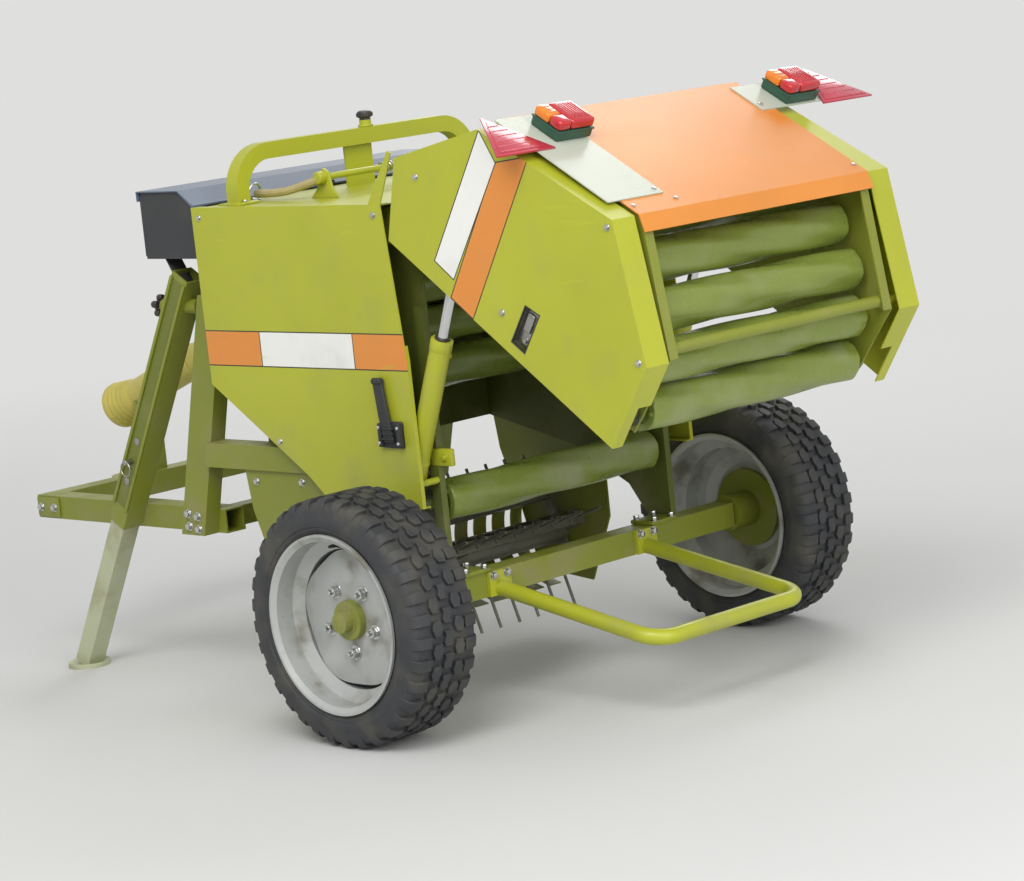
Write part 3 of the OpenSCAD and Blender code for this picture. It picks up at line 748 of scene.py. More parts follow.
@dataclass
class Wheels(Part):
    """Tyres with their tread, and what fastens the wheels."""

    middle_x: float = 652.0
    axle_z: float = 288.5
    tread_r: float = 287.9
    groove_r: float = 277.5
    base_r: float = 279.0
    bead_r: float = 196.3
    blocks: int = 34
    bolt_r: float = 77.0
    bolts: int = 5
    disc_x: float = 28.5
    disc_r: float = 156.0
    disc_wave: float = 5.5
    disc_steps: int = 120

    def spot(self, side: int, out: float, up: float, along: float = 0.0) -> Vector:
        """Gives a point from a wheel's middle: outwards, upwards and to the rear."""
        return at(side * (self.middle_x + out), along, self.axle_z + up)

    def spun(self, side: int, name: str, profile: Sequence[Point],
             steps: int = 96) -> Thing:
        """Spins a profile of [out, radius] points about the wheel's axis."""
        points = [self.spot(side, w, r) for w, r in profile]
        return Bench.lathe(name, points, self.spot(side, 0, 0), Axis.X.run, steps)

    def carcass(self, side: int) -> Thing:
        """Spins the tyre's body with its sidewall rings."""
        wall = [(84, self.bead_r), (90, 210.3), (95.5, 219), (95.5, 224), (98, 226), (99.4, 232),
                (99.4, 243), (98, 246), (97.6, 250), (95, 262), (91, 270), (85, 276.5),
                (74, 278.8), (40, self.base_r)]
        return self.spun(side, "carcass", wall + [(-w, r) for w, r in reversed(wall)])

    def lug(self, side: int, outline: Sequence[Point]) -> Thing:
        """Raises one tread block from an outline of [along, out] points."""
        points = [self.spot(side, out, self.groove_r, along) for along, out in outline]
        return Bench.prism("lug", points, Vector((0, 0, (self.tread_r - self.groove_r) * MM)),
                           (1.1, 1, 40.0))

    def shoulder(self, side: int, out: int) -> Thing:
        """Models a shoulder block that bends down over the tyre's edge."""
        profile = [(52, 277), (52, 288.2), (76, 287.2), (86, 282.5), (93.5, 272), (96, 258),
                   (92, 258), (84, 270)]
        points = [self.spot(side, out * w, r, -13.0) for w, r in profile]
        return Bench.prism("shoulder", points, Vector((0, 26.0 * MM, 0)), (1.2, 1, 30.0))

    def tread(self, side: int) -> list[Thing]:
        """Lays the rows of blocks round the tyre."""
        rib = [(-17, -12), (-4, -14), (8, -9), (18, -12), (18, 10), (6, 13), (-6, 8), (-17, 11)]
        mid = [(-18, -10), (2, -15), (17, -8), (18, 8), (0, 14), (-16, 9)]
        centre = self.spot(side, 0, 0)
        even = turns(centre, self.blocks)
        odd = turns(centre, self.blocks, 0.5)
        rows = [Bench.copies("rib_row", self.lug(side, rib), even)]
        for out, places in ((-1, odd), (1, even)):
            outline = [(a * out, w + out * 33.0) for a, w in mid]
            rows.append(Bench.copies("mid_row", self.lug(side, outline), odd))
            rows.append(Bench.copies("shoulder_row", self.shoulder(side, out), places))
        return rows

    def nuts(self, side: int) -> Thing:
        """Sets the wheel nuts with their stud ends round the hub."""
        nut = hex_bolt(self.spot(side, self.disc_x, self.bolt_r), Axis.X, 22.0, 14.0)
        stud = Bench.rod("stud", 6.5, 12.0, self.spot(side, self.disc_x + 19.0, self.bolt_r),
                         Axis.X, 16, (0.8, 2), None if side < 0 else 5.4)
        return Bench.copies("nuts", Bench.join("nut", (nut, stud)),
                            turns(self.spot(side, 0, 0), self.bolts, 0.5))

    def disc(self, side: int) -> Thing:
        """Cuts the wheel's disc, with shallow waves round its edge."""
        outline = []
        for step in range(self.disc_steps):
            turn = math.tau * step / self.disc_steps
            reach = self.disc_r + self.disc_wave * math.cos(self.bolts * turn)
            outline.append(self.spot(side, self.disc_x - 2.3, reach * math.cos(turn),
                                     reach * math.sin(turn)))
        return Bench.prism("disc", outline, Vector((side * 2.3 * MM, 0, 0)), (0.8, 2))

    def valve(self, side: int) -> list[Thing]:
        """Models the valve stem near the rim's well."""
        return [Bench.rod("stem", 5.0, 30.0, self.spot(side, 60, 176), Axis.X, 16, tip=3.6),
                Bench.rod("collar", 8.0, 5.0, self.spot(side, 46, 176), Axis.X, 20, (1.2, 2))]

    def build(self) -> None:
        """Builds both wheels."""
        # A dark ring deep in the rim's well, in the dark rubber finish, that shows through the gaps
        # round the wavy disc: painted shade of the well's depth.
        well = [(12.8, 139), (7.4, 162.8), (8.8, 162.8), (14.2, 139)]
        cap = [(71, 0), (71, 15), (69, 21), (64, 24.6), (48, 24.6), (47.4, 30), (45, 30),
               (44.6, 46), (27, 46), (27, 0)]
        for side, word in SIDES:
            parts = (("tyre_tread", (self.carcass(side), *self.tread(side)), "tyre"),
                     ("wheel_nuts", [self.nuts(side)], "zinc"),
                     ("wheel_disc", [self.disc(side)], "rim"),
                     ("wheel_well", [self.spun(side, "well", well)], "rubber"),
                     ("dust_cap", [self.spun(side, "cap", cap, 48)], "leaf"),
                     ("valve", self.valve(side), "rubber"))
            for name, things, finish in parts:
                self.add(f"{name}_{word}", things, finish, Body(f"wheel_{word}"),
                         f"tyre_{word}" if finish == "tyre" else None)


@dataclass
class Rollers(Part):
    """Thirteen rollers with a shallow spiral pressed into their skins."""

    radius: float = 50.0
    half: float = 345.5
    shaft_r: float = 14.0
    shaft_half: float = 380.5
    lobes: int = 5
    swell: float = 4.2
    swell_from: float = 48.0
    twist: float = 165.0
    spin_step: float = 1.1

    def skin(self) -> Thing:
        """Spins a roller's skin about the X axis through the frame's origin, and twists it."""
        end = self.half
        profile = [(-end, 30), (-end, 46), (3 - end, 49)]
        profile += [(3 - end + (2 * end - 6) * i / 24, 49) for i in range(1, 25)]
        profile += [(end, 46), (end, 30), (end - 6, 30), (end - 6, 14), (6 - end, 14),
                    (6 - end, 30)]
        skin = Bench.lathe("skin", [Vector((x, 0, r)) * MM for x, r in profile], Vector(),
                           Axis.X.run, 60)
        for vertex in skin.data.vertices:
            reach = math.hypot(vertex.co.y, vertex.co.z)
            if reach > self.swell_from * MM:
                turn = math.atan2(vertex.co.z, vertex.co.y)
                lift = (self.swell / 2) * (math.cos(self.lobes * turn) - 1.0) * MM
                factor = (self.radius * MM + lift) / reach
                vertex.co.y *= factor
                vertex.co.z *= factor
        Bench.take(skin)
        twist = skin.modifiers.new("spiral", "SIMPLE_DEFORM")
        twist.deform_method = "TWIST"
        twist.deform_axis = "X"
        twist.angle = math.radians(self.twist)
        bpy.ops.object.modifier_apply(modifier=twist.name)
        return skin

    def model(self) -> Thing:
        """Models one whole roller about the X axis through the frame's origin."""
        parts = [self.skin(), Bench.rod("shaft", self.shaft_r, 2 * self.shaft_half, Vector(),
                                        Axis.X, 32, (1.5, 2))]
        for side in (-1, 1):
            parts.append(Bench.rod("collar", 22.0, 8.0, Vector((side * (self.half + 6), 0, 0)) * MM,
                                   Axis.X, 32, (1.2, 2)))
        for side in (-1, 1):
            bolt = hex_bolt(Vector((side * self.half, 0, 36)) * MM, Axis.X, 9.0, 4.0)
            parts.append(Bench.copies("end_bolts", bolt, turns(Vector(), 3)))
        return Bench.join("roller_model", parts)

    def build(self) -> None:
        """Copies the roller to every place."""
        model = self.model()
        names = [f"roller_front_{i}" for i in range(1, 7)]
        names += [f"roller_gate_{i}" for i in range(1, 8)]
        for number, name in enumerate(names):
            low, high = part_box(name)
            spin = Matrix.Rotation(number * self.spin_step, 4, "X")
            twin = Bench.twin(model, Matrix.Translation((low + high) / 2) @ spin)
            self.add(f"{name}_skin", [twin], "roller", name, name)
        bpy.data.objects.remove(model)


@dataclass
class Bearings(Part):
    """Flanged bearing housings on the walls, one at each end of every roller."""

    wall_out: float = 372.5
    flange_r: float = 31.0
    bore_r: float = 15.2

    def housing(self, side: int) -> Thing:
        """Spins one housing about the X axis through the frame's origin, with three bolts."""
        out = self.wall_out
        profile = [(0.2, self.bore_r), (0.2, self.flange_r), (3.2, self.flange_r), (4.2, 24.0),
                   (6.6, 22.0), (7.2, 19.0), (7.2, self.bore_r)]
        points = [Vector((side * (out + x), 0, r)) * MM for x, r in profile]
        ring = Bench.lathe("housing", points, Vector(), Axis.X.run, 36)
        bolt = hex_bolt(Vector((side * (out + 3.0), 0, 27.0)) * MM, Axis.X, 6.0, 3.4)
        return Bench.join("housing", (ring, Bench.copies("bolts", bolt, turns(Vector(), 3))))

    def build(self) -> None:
        """Sets a housing at every shaft end."""
        for group, count, body in (("front", 6, Body.FRAME), ("gate", 7, Body.TAILGATE)):
            places = []
            for number in range(1, count + 1):
                low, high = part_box(f"roller_{group}_{number}")
                places.append(Matrix.Translation((low + high) / 2))
            sets = [Bench.copies("set", self.housing(side), places) for side in (-1, 1)]
            self.add(f"bearings_{group}", sets, "casting", body)


@dataclass
class Covers(Part):
    """Folded side covers with their screws and the rubber latch."""

    face_x: float = 458.0
    gate_screws: tuple[Point, ...] = ((703, 1144), (356, 958), (757, 853), (120, 1262))
    side_screws: tuple[Point, ...] = ((-664, 1178), (-36, 1178), (-452, 640), (-250, 522))
    hand_window: tuple[Point, ...] = ((374, 894), (414, 866), (474, 953), (430, 976))
    catch_lean: float = math.radians(57)
    catch_depth: float = 13.0

    def screws(self, name: str, spots: Sequence[Point], body: Body) -> None:
        """Sets cover screws on both sides of the machine."""
        heads = [hex_bolt(place, Axis.X, 10.0, 4.6) for place in both(self.face_x, *spots)]
        self.add(name, heads, "zinc", body)

    def latch(self) -> None:
        """Models the stretched rubber latch over its base with hooks and rivets."""
        x = self.face_x
        outline = ((-62, 655), (-30, 655), (-40, 712), (-52, 790), (-57, 806), (-80, 803),
                   (-82, 786), (-74, 712))
        parts = [Bench.block("base", (9, 74, 62), at(x + 4.6, -44, 672), (4, 3))]
        parts += [Bench.block("cheek", (18, 10, 56), at(x + 9.5, y, 672), (3, 3))
                  for y in (-76, -12)]
        parts.append(Bench.prism("strap", [at(x + 9, y, z) for y, z in outline],
                                 Vector((8 * MM, 0, 0)), (2.5, 3)))
        parts += [Bench.block("rib", (5, 40, 4), at(x + 18, -46, z), (1.5, 2))
                  for z in (664, 676, 688)]
        parts.append(Bench.rod("toggle", 8, 30, at(x + 13, -68, 797), Axis.Y, 20, (2, 2)))
        self.add("latch_rubber", parts, "rubber", Body.FRAME, "cover_latch")
        rivets = [Bench.rod("rivet", 4.2, 3, at(x + 19, y, z), Axis.X, 20, (1.2, 3))
                  for y in (-76, -12) for z in (654, 690)]
        self.add("latch_rivets", rivets, "zinc")

    def stays(self) -> None:
        """Sets the rod that holds each cover's rear foot, and the bracket on the wall's edge."""
        for side, word in SIDES:
            rod = Bench.rod("rod", 8, 82.2, at(side * 413.7, 7, 554), Axis.X, 24, (1, 2))
            box = Bench.block("box", (14, 70, 40), at(side * 379.9, 27, 608), (2.5, 2))
            bolt = hex_bolt(at(side * 386.8, 42, 608), Axis.X, 12, 5)
            self.add(f"wall_bracket_{word}", (rod, box, bolt), "lime")

    def windows(self) -> None:
        """Rims the hand window of each tailgate cover with a rubber edge."""
        corners = [Vector(corner) for corner in self.hand_window]
        middle = sum(corners, Vector((0, 0))) / 4
        for side, word in SIDES:
            rims = []
            for here, there in zip(corners, corners[1:] + corners[:1]):
                run = there - here
                half_way = (here + there) / 2
                place = half_way + (middle - half_way).normalized() * 1.6
                rims.append(Bench.block("rim", (5.5, run.length, 3.0),
                                        at(side * (self.face_x - 1.5), *place), (1.0, 2),
                                        (math.atan2(run.y, run.x), 0, 0)))
            self.add(f"window_rim_{word}", rims, "rubber", Body.TAILGATE)
            self.catch(side, word, middle)

    def catch(self, side: int, word: str, middle: Vector) -> None:
        """Models the tailgate's metal catch that shows behind the hand window."""
        turn = (self.catch_lean, 0, 0)
        run = Vector((math.cos(self.catch_lean), math.sin(self.catch_lean)))
        rise = Vector((-run.y, run.x))
        x = side * (self.face_x - self.catch_depth)
        nose = middle + Vector((8, 12))
        parts = [Bench.block("plate", (4, 104, 62), at(x, *middle), (1.5, 2), turn),
                 Bench.block("nose", (8, 46, 22), at(x + side * 5, *nose), (3.0, 3), turn)]
        for step in (-24, 24):
            place = middle + run * step + Vector((0, -8))
            parts.append(hex_bolt(at(x + side * 1.9, *place), Axis.X, 11, 5))
        for step in (-28.5, 28.5):
            parts.append(Bench.block("flange", (10.2, 104, 5),
                                     at(x + side * 4.9, *(middle + rise * step)), (1.2, 2), turn))
        self.add(f"gate_catch_{word}", parts, "steel", Body.TAILGATE)

    def build(self) -> None:
        """Dresses the covers."""
        self.screws("side_cover_screws", self.side_screws, Body.FRAME)
        self.screws("gate_cover_screws", self.gate_screws, Body.TAILGATE)
        self.latch()
        self.stays()
        self.windows()


@dataclass
class Tailgate(Part):
    """Lid, lamps and reflectors of the raised tailgate."""

    lid_front: Point = (345.0, 1377.0)
    lid_rear: Point = (722.0, 1160.0)
    sheet: float = 3.0
    board: float = 3.1
    lamps: tuple[float, float] = (290.0, -475.0)
    lamp_along: float = 86.0
    lamp_size: tuple[float, float] = (110.0, 88.0)
    red_share: float = 0.66
    reflectors: tuple[float, float] = (457.0, -620.0)
    triangle: float = 180.0
    lid_screws: tuple[Point, ...] = ((-366, 30), (-366, 404), (232, 30), (232, 404), (366, 404))
    board_screws: tuple[Point, ...] = ((-520, 44), (-350, 112), (260, 360))

    @property
    def turn(self) -> Triple:
        """Turn of the lid."""
        return (math.atan2(self.lid_rear[1] - self.lid_front[1],
                           self.lid_rear[0] - self.lid_front[0]), 0.0, 0.0)

    def on_lid(self, x: float, along: float, up: float) -> Vector:
        """Gives a point over the lid: sideways, along it from its front edge, and above it."""
        lean = self.turn[0]
        run = Vector((math.cos(lean), math.sin(lean)))
        rise = Vector((-run.y, run.x))
        return at(x, *(Vector(self.lid_front) + run * along + rise * (up + self.sheet)))

    def slab(self, name: str, size: Sequence[float], x: float, along: float, low: float,
             edge: float) -> Thing:
        """Adds a rounded block that stands on the lid at a height above it."""
        return Bench.block(name, size, self.on_lid(x, along, low + size[2] / 2),
                           (edge, 3, 30.0), self.turn)

    def lamp(self, x: float, word: str) -> None:
        """Models one lamp: housing, gasket, red lens with ribs and amber corner.

        Args:
            x: place of its middle, sideways.
            word: left or right; the left one stands for the solids of both lamps.
        """
        wide, deep = self.lamp_size
        along = self.lamp_along
        base = self.board + 0.1
        red_w = wide * self.red_share
        amber_w = wide - red_w
        red_x = x - amber_w / 2
        amber_x = x + red_w / 2
        split = deep * 0.06
        rear = deep / 2 - split
        front = deep / 2 + split
        housing = [self.slab("housing", (wide, deep, 25), x, along, base, 5.0),
                   self.slab("gasket", (wide + 3, deep + 3, 4), x, along, base + 21, 1.2)]
        red = [self.slab("lens", (red_w - 1, deep - 2, 24), red_x, along, base + 25, 7.0),
               self.slab("corner", (amber_w, rear - 2, 24), amber_x, along + split + rear / 2,
                         base + 25, 7.0)]
        red += [self.slab("rib", (3.4, deep - 22, 2.2),
                          red_x - red_w / 2 + 13 + step * (red_w - 26) / 6, along, base + 48, 0.8)
                for step in range(7)]
        amber = [self.slab("lens", (amber_w, front - 2, 23), amber_x, along + split - front / 2,
                           base + 25, 6.0)]
        amber += [self.slab("rib", (amber_w - 12, 3.0, 2.0), amber_x, along - 30 + step * 12,
                            base + 47, 0.8) for step in range(3)]
        left = word == "left"
        self.add(f"lamp_housing_{word}", housing, "lamp", Body.TAILGATE,
                 "lamp_bodies" if left else None)
        self.add(f"lamp_red_{word}", red, "red", Body.TAILGATE, "lamp_lenses" if left else None)
        self.add(f"lamp_amber_{word}", amber, "amber", Body.TAILGATE)

    def reflector(self, x: float) -> list[Thing]:
        """Models one triangle with its raised rim and prism field."""
        half = self.triangle / 2
        tall = self.triangle * math.sqrt(3) / 2
        low = self.board + 0.1
        up = self.on_lid(0, 0, 1) - self.on_lid(0, 0, 0)
        parts = []
        for shrink, foot, thick in ((0.0, low, 4.6), (9.0, low + 4.4, 1.5)):
            reach = half - shrink * 1.7
            corners = ((-reach, 152 - shrink), (reach, 152 - shrink), (0, 152 - tall + shrink * 2))
            points = [self.on_lid(x + a, b, foot) for a, b in corners]
            parts.append(Bench.prism("triangle", points, up * thick, (0.9, 2)))
        for row in range(6):
            along = 140 - row * 20
            reach = (half - 24) * (1 - row / 6.6)
            corners = ((-reach, along), (reach, along), (reach, along - 2.5), (-reach, along - 2.5))
            points = [self.on_lid(x + a, b, low + 5.8) for a, b in corners]
            parts.append(Bench.prism("ridge", points, up * 0.7))
        return parts

    def build(self) -> None:
        """Dresses the tailgate."""
        for x, (_, word) in zip(self.lamps, SIDES):
            self.lamp(x, word)
        for x, (side, word) in zip(self.reflectors, SIDES):
            self.add(f"reflector_{word}", self.reflector(x), "prism", Body.TAILGATE,
                     "reflectors" if side > 0 else None)
        heads = [Bench.rod("head", 6.0, 3.0, self.on_lid(x, along, lift + 1.5), self.turn, 6,
                           (0.7, 2, HEX_EDGE))
                 for spots, lift in ((self.lid_screws, 0.0), (self.board_screws, self.board))
                 for x, along in spots]
        self.add("lid_screws", heads, "zinc", Body.TAILGATE)
        nuts = [Bench.rod("nut", 19.0, 12.0, place, Axis.X, 6, (1.2, 2, HEX_EDGE))
                for place in both(360.5, (745, 866))]
        self.add("cross_bar_nuts", nuts, "leaf", Body.TAILGATE)


@dataclass
class Cylinders(Part):
    """Glands, eyes and ports of the two lift cylinders."""

    x: float = 416.0
    foot: Point = (-30.0, 570.0)
    eye: Point = (238.0, 1195.0)
    barrel: float = 345.0
    clip_x: float = 447.5
    pin_x: float = 443.6

    def build(self) -> None:
        """Dresses the cylinders."""
        foot, eye = Vector(self.foot), Vector(self.eye)
        run = (eye - foot).normalized()
        lie = (-math.atan2(run.x, run.y), 0.0, 0.0)
        x, port_x, end = self.x, self.x - 28, self.barrel
        rows = (
            ("cylinder_glands", "lime", Body.BARRELS, (
                ("gland", 27.0, 26.0, x, foot + run * (end - 11), lie, 12, (1.6, 2, 20.0)),
                ("ring", 26.6, 12.0, x, foot + run * 34, lie, 40, (2.0, 3)),
                ("port", 9.0, 12.0, port_x, foot + run * 62, Axis.X, 6, (1.0, 2, HEX_EDGE)),
                ("port", 9.0, 12.0, port_x, foot + run * (end - 44), Axis.X, 6,
                 (1.0, 2, HEX_EDGE)))),
            ("cylinder_wipers", "cap", Body.BARRELS, (
                ("wiper", 18.0, 7.0, x, foot + run * (end + 4), lie, 32, (2.4, 3)),)),
            ("rod_eyes", "lime", Body.RODS, (
                ("eye", 23.5, 20.0, x, eye, Axis.X, 40, (2.5, 3)),)),
            ("foot_pin_clips", "zinc", Body.FRAME, (
                ("washer", 17.0, 2.5, self.clip_x, foot, Axis.X, 32, (0.8, 2)),
                ("split_pin", 2.0, 30.0, self.pin_x, foot, Axis.Z, 12, (0.6, 2)))))
        for name, finish, body, rods in rows:
            made = [Bench.rod(word, radius, length, place, axis, sides, soft)
                    for word, radius, length, out, spot, axis, sides, soft in rods
                    for place in both(out, spot)]
            self.add(name, made, finish, body)


@dataclass
class Deck(Part):
    """Arch, filler, twine box and guides on the deck."""

    deck_z: float = 1200.0
    arch_y: float = -600.0
    arch_half: float = 400.0
    filler_x: float = -50.0
    rail_y: float = -400.0
    rail_z: float = 1250.0
    rail_left: float = 276.0
    box_x: float = 440.0
    box_front: float = -905.0

    def arch_feet(self) -> None:
        """Sets a welded foot plate with bolts under each end of the arch."""
        x, y, z = self.arch_half - 20, self.arch_y, self.deck_z
        feet = [Bench.block("foot", (70, 76, 6), place, (2.0, 2))
                for place in both(x, (y, z + 3.2))]
        feet.append(Bench.rod("neck", 19, 6, at(self.filler_x, y, 1343), Axis.Z, 32, (2, 3)))
        self.add("arch_feet", feet, "lime")
        self.add("arch_bolts", [hex_bolt(place, Axis.Z, 10, 5)
                                for place in both(x + 6, (y - 28, z + 6), (y + 28, z + 6))], "zinc")

    def cap(self) -> None:
        """Spins the filler cap and sets the ridges round its grip."""
        x, y = self.filler_x, self.arch_y
        profile = [(0, 1380), (12, 1380), (17, 1378), (19.4, 1374), (19.4, 1365), (17, 1363),
                   (14, 1362.6), (14, 1357.2), (0, 1357.2)]
        points = [at(x + r, y, z) for r, z in profile]
        body = Bench.lathe("cap", points, at(x, y, 0), Axis.Z.run, 48)
        ridge = Bench.block("ridge", (3, 3, 9), at(x + 19.4, y, 1370), (0.8, 1))
        grip = Bench.copies("grip", ridge, turns(at(x, y, 0), 18, 0.0, Axis.Z))
        self.add("filler_grip", (body, grip), "cap", Body.FRAME, "filler_cap")

    def guides(self) -> None:
        """Hangs the twine eyes and the tension spring on the guide rail."""
        y, z = self.rail_y, self.rail_z
        rings = []
        for x in (-270, -180, -90, 0):
            rings.append(Bench.torus("eye", 14, 2.6, at(x, y, z - 22), (0.4, 1.57, 0)))
            rings.append(Bench.rod("sleeve", 11, 12, at(x, y, z), Axis.X, 24, (2, 2)))
        spring = [at(50 + i * 1.6, y + 12 * math.cos(i * 1.05), z + 12 * math.sin(i * 1.05))
                  for i in range(30)]
        self.add("twine_eyes", (*rings, Bench.pipe("spring", spring, 1.8)), "zinc")

    def outer_rail(self) -> None:
        """Carries the guide rail on to the left with its bracket, twine tube and ring."""
        left, y, z = self.rail_left, self.rail_y, self.rail_z
        outline = ((-452, 1200.5), (-352, 1200.5), (-372, 1222), (-382, 1262), (-400, 1272),
                   (-420, 1258), (-428, 1222))
        rail = [Bench.rod("rail", 8, left - 54, at((left + 60) / 2, y, z), Axis.X, 24, (1.0, 2)),
                Bench.prism("plate", [at(left - 3, *spot) for spot in outline],
                            Vector((6 * MM, 0, 0)), (1.5, 2)),
                Bench.rod("knob", 15, 26, at(left + 12, y, z), Axis.X, 24, (3, 3)),
                Bench.rod("stay", 9, 12, at(108, y, z), Axis.X, 24, (2, 2))]
        self.add("outer_rail", rail, "lime")
        bend = ((16, -404, 1246), (24, -440, 1236), (30, -500, 1223), (30, -560, 1218),
                (22, -630, 1217))
        tube = Bench.pipe("tube", [at(left + out, *spot) for out, *spot in bend], 10)
        self.add("twine_tube", [tube], "hose")
        ring = Bench.torus("ring", 19, 3, at(left + 20, -640, 1222), (1.35, 0.25, 0))
        foot = Bench.block("foot", (20, 20, 4), at(left + 20, -640, 1202), (1.5, 2))
        self.add("tube_ring", (ring, foot), "zinc")

    def box_trim(self) -> None:
        """Rolls the box's rims and adds its catches, hinge knuckles and brackets."""
        front = self.box_front
        trim = [Bench.block("corner", (14, 10, 150), place, (2.5, 2))
                for place in both(self.box_x - 6, (front + 1, 1158))]
        trim += [Bench.block("bracket", (46, 5, 96), place, (1.5, 2), (0.56, 0, 0))
                 for place in both(402.5, (-829, 1040))]
        trim += [Bench.rod("knuckle", 8.4, 24, at(x, -700, 1205), Axis.X, 24, (1.4, 2))
                 for x in (-300, 0, 300)]
        self.add("box_trim", trim, "box")
        catches = [Bench.block("strap", (26, 5, 66), place, (2, 3))
                   for place in both(240, (front - 2.6, 1186))]
        catches += [Bench.rod("toggle", 7, 34, place, Axis.X, 20, (2, 3))
                    for place in both(240, (front - 6, 1158))]
        self.add("box_catches", catches, "rubber")

    def build(self) -> None:
        """Dresses the deck."""
        self.arch_feet()
        self.cap()
        self.guides()
        self.outer_rail()
        self.box_trim()


@dataclass
class Hitch(Part):
    """Drawbar frame, parking leg, gearbox and power shaft."""

    beam_z: float = 410.0
    shaft_top: Point = (-868.0, 916.0)
    slope: float = math.radians(20.8)
    tube_r: float = 35.4
    gearbox_z: float = 924.0
    guide_low: Point = (-1149.0, 432.0)
    guide_top: Point = (-796.0, 1032.0)
    guide_x: float = 402.5
    dish_r: float = 55.0

    def on_shaft(self, along: float, radius: float, spin: float = 0.0) -> Vector:
        """Gives a point round the power shaft."""
        run = Vector((-math.cos(self.slope), -math.sin(self.slope)))
        rise = Vector((run.y, -run.x))
        place = Vector(self.shaft_top) + run * along + rise * (radius * math.cos(spin))
        return at(radius * math.sin(spin), place.x, place.y)

    def guard(self) -> None:
        """Spins the guard's bellows cones, its sleeve and its collars."""
        axis = (self.on_shaft(1, 0) - self.on_shaft(0, 0)).normalized()
        tube = self.tube_r
        top = [(4, 30), (4, 36)] + [(8 + i * 7, 40 + (4 if i % 2 else 8) + i) for i in range(9)]
        top += [(74, 60), (80, 44), (100, 38), (100, tube), (30, tube)]
        low = [(752, tube), (752, 39), (762, 45)]
        low += [(768 + i * 8, 46 + i * 1.6 + (3 if i % 2 else 0)) for i in range(9)]
        low += [(838, 63.5), (850, 63.5), (850, 59.5), (835, 58), (790, 40), (786, tube)]
        sleeve = [(102, tube), (102, 41), (108, 44), (748, 44), (754, 42), (754, tube)]
        collars = [[(along, 43.6), (along, 45.6), (along + 3, 46.6), (along + 15, 46.6),
                    (along + 18, 45.6), (along + 18, 43.6)] for along in (230, 470)]
        parts = [Bench.lathe("guard", [self.on_shaft(a, r) for a, r in profile],
                             self.on_shaft(0, 0), axis, 48)
                 for profile in (top, low, sleeve, *collars)]
        self.add("guard_bellows", parts, "guard")

    def yoke(self) -> None:
        """Adds the joint's cross and the splines at the shaft's lower end."""
        parts = [Bench.rod("cross", 9.0, 58.0, at(0, -868, 922), axis, 24, (1.5, 2))
                 for axis in (Axis.Z, Axis.X)]
        parts += [Bench.block("spline", (5, 46, 5), self.on_shaft(848, 21, math.tau * i / 8),
                              turn=(self.slope, 0, 0)) for i in range(8)]
        self.add("shaft_yoke", parts, "steel")

    def gearbox(self) -> None:
        """Adds the gearbox's flange, cover bolts, filler and cooling ribs."""
        z = self.gearbox_z
        ring = [(-4, 20), (-4, 70), (-0.5, 74), (8, 74), (8, 60)]
        points = [at(0, a - 804, z + r) for a, r in ring]
        ribs = [Bench.block("rib", (176, 120, 7), at(0, -686, z + step), (2, 2))
                for step in (-72, -48, 52, 76)]
        self.add("gearbox_ribs", (Bench.lathe("flange", points, at(0, -800, z), Axis.Y.run, 48),
                                  *ribs), "casting")
        bolts = []
        for step in range(8):
            turn = math.tau * step / 8 + 0.2
            bolts.append(hex_bolt(at(66 * math.sin(turn), -808, z + 66 * math.cos(turn)), Axis.Y,
                                  10, 6, True))
        bolts.append(hex_bolt(at(40, -680, 1020), Axis.Z, 22, 9))
        self.add("gearbox_bolts", bolts, "zinc")

    def joints(self) -> None:
        """Bolts the struts and gussets to the beams, and adds the star knobs."""
        z = self.beam_z
        places = both(417.5, (-889, 402), (-852, 428), (-889, 434), (-852, 396))
        places += both(378.6, (-1558, z), (-1502, z))
        self.add("hitch_bolts", [hex_bolt(place, Axis.X, 15, 8) for place in places], "zinc")
        self.add("hitch_plates", [Bench.block("gusset", (6, 92, 52), place, (2, 2))
                                  for place in both(375.6, (-1530, z))], "leaf")
        knobs = []
        for place in both(self.guide_x, (-918, 955)):
            knobs.append(Bench.rod("hub", 16, 24, place, Axis.Y, 24, (3, 3)))
            lobe = Bench.rod("lobe", 9, 18, place + Vector((0, 0, 20 * MM)), Axis.Y, 20, (3, 3))
            knobs.append(Bench.copies("lobes", lobe, turns(place, 5, 0.0, Axis.Y)))
        self.add("strut_knobs", knobs, "cap")

    def channel(self, run: Vector, long: float) -> None:
        """Folds the two lips along the outer face of each front strut, and lays a thin darker sheet
        between them as painted shade of the channel's recess.
        """
        turn = (math.atan2(run.y, run.x), 0, 0)
        middle = Vector(self.guide_low) + run * (long / 2)
        across = Vector((-run.y, run.x))
        lips, shaded_webs = [], []
        for side in (-1, 1):
            lips += [Bench.block("lip", (6.6, long - 24, 9),
                                 at(side * (self.guide_x + 33.4), *(middle + across * edge)),
                                 (2.2, 3), turn) for edge in (-25, 25)]
            shaded_webs.append(Bench.block("web", (0.8, long - 30, 38),
                                    at(side * (self.guide_x + 30.5), *middle), (0.3, 1), turn))
        self.add("strut_lips", lips, "leaf")
        self.add("strut_webs", shaded_webs, "flange")

    def leg_pin(self, run: Vector) -> None:
        """Adds the pin that holds the parking leg, with its bushes and ring."""
        x = self.guide_x
        low = Vector(self.guide_low)
        parts = [Bench.rod("bush", 10, 3, at(x + 31, *(low + run * step)), Axis.X, 24, (1, 2))
                 for step in (90, 210)]
        pin = low + run * 150
        parts.append(Bench.rod("pin", 7, 26, at(x + 43, *pin), Axis.X, 20, (2, 3)))
        ring = [at(x + 54, pin.x + 18 * math.sin(0.2 * i), pin.y - 16 + 18 * math.cos(0.2 * i))
                for i in range(31)]
        self.add("leg_pin", (*parts, Bench.pipe("ring", ring, 2)), "steel")

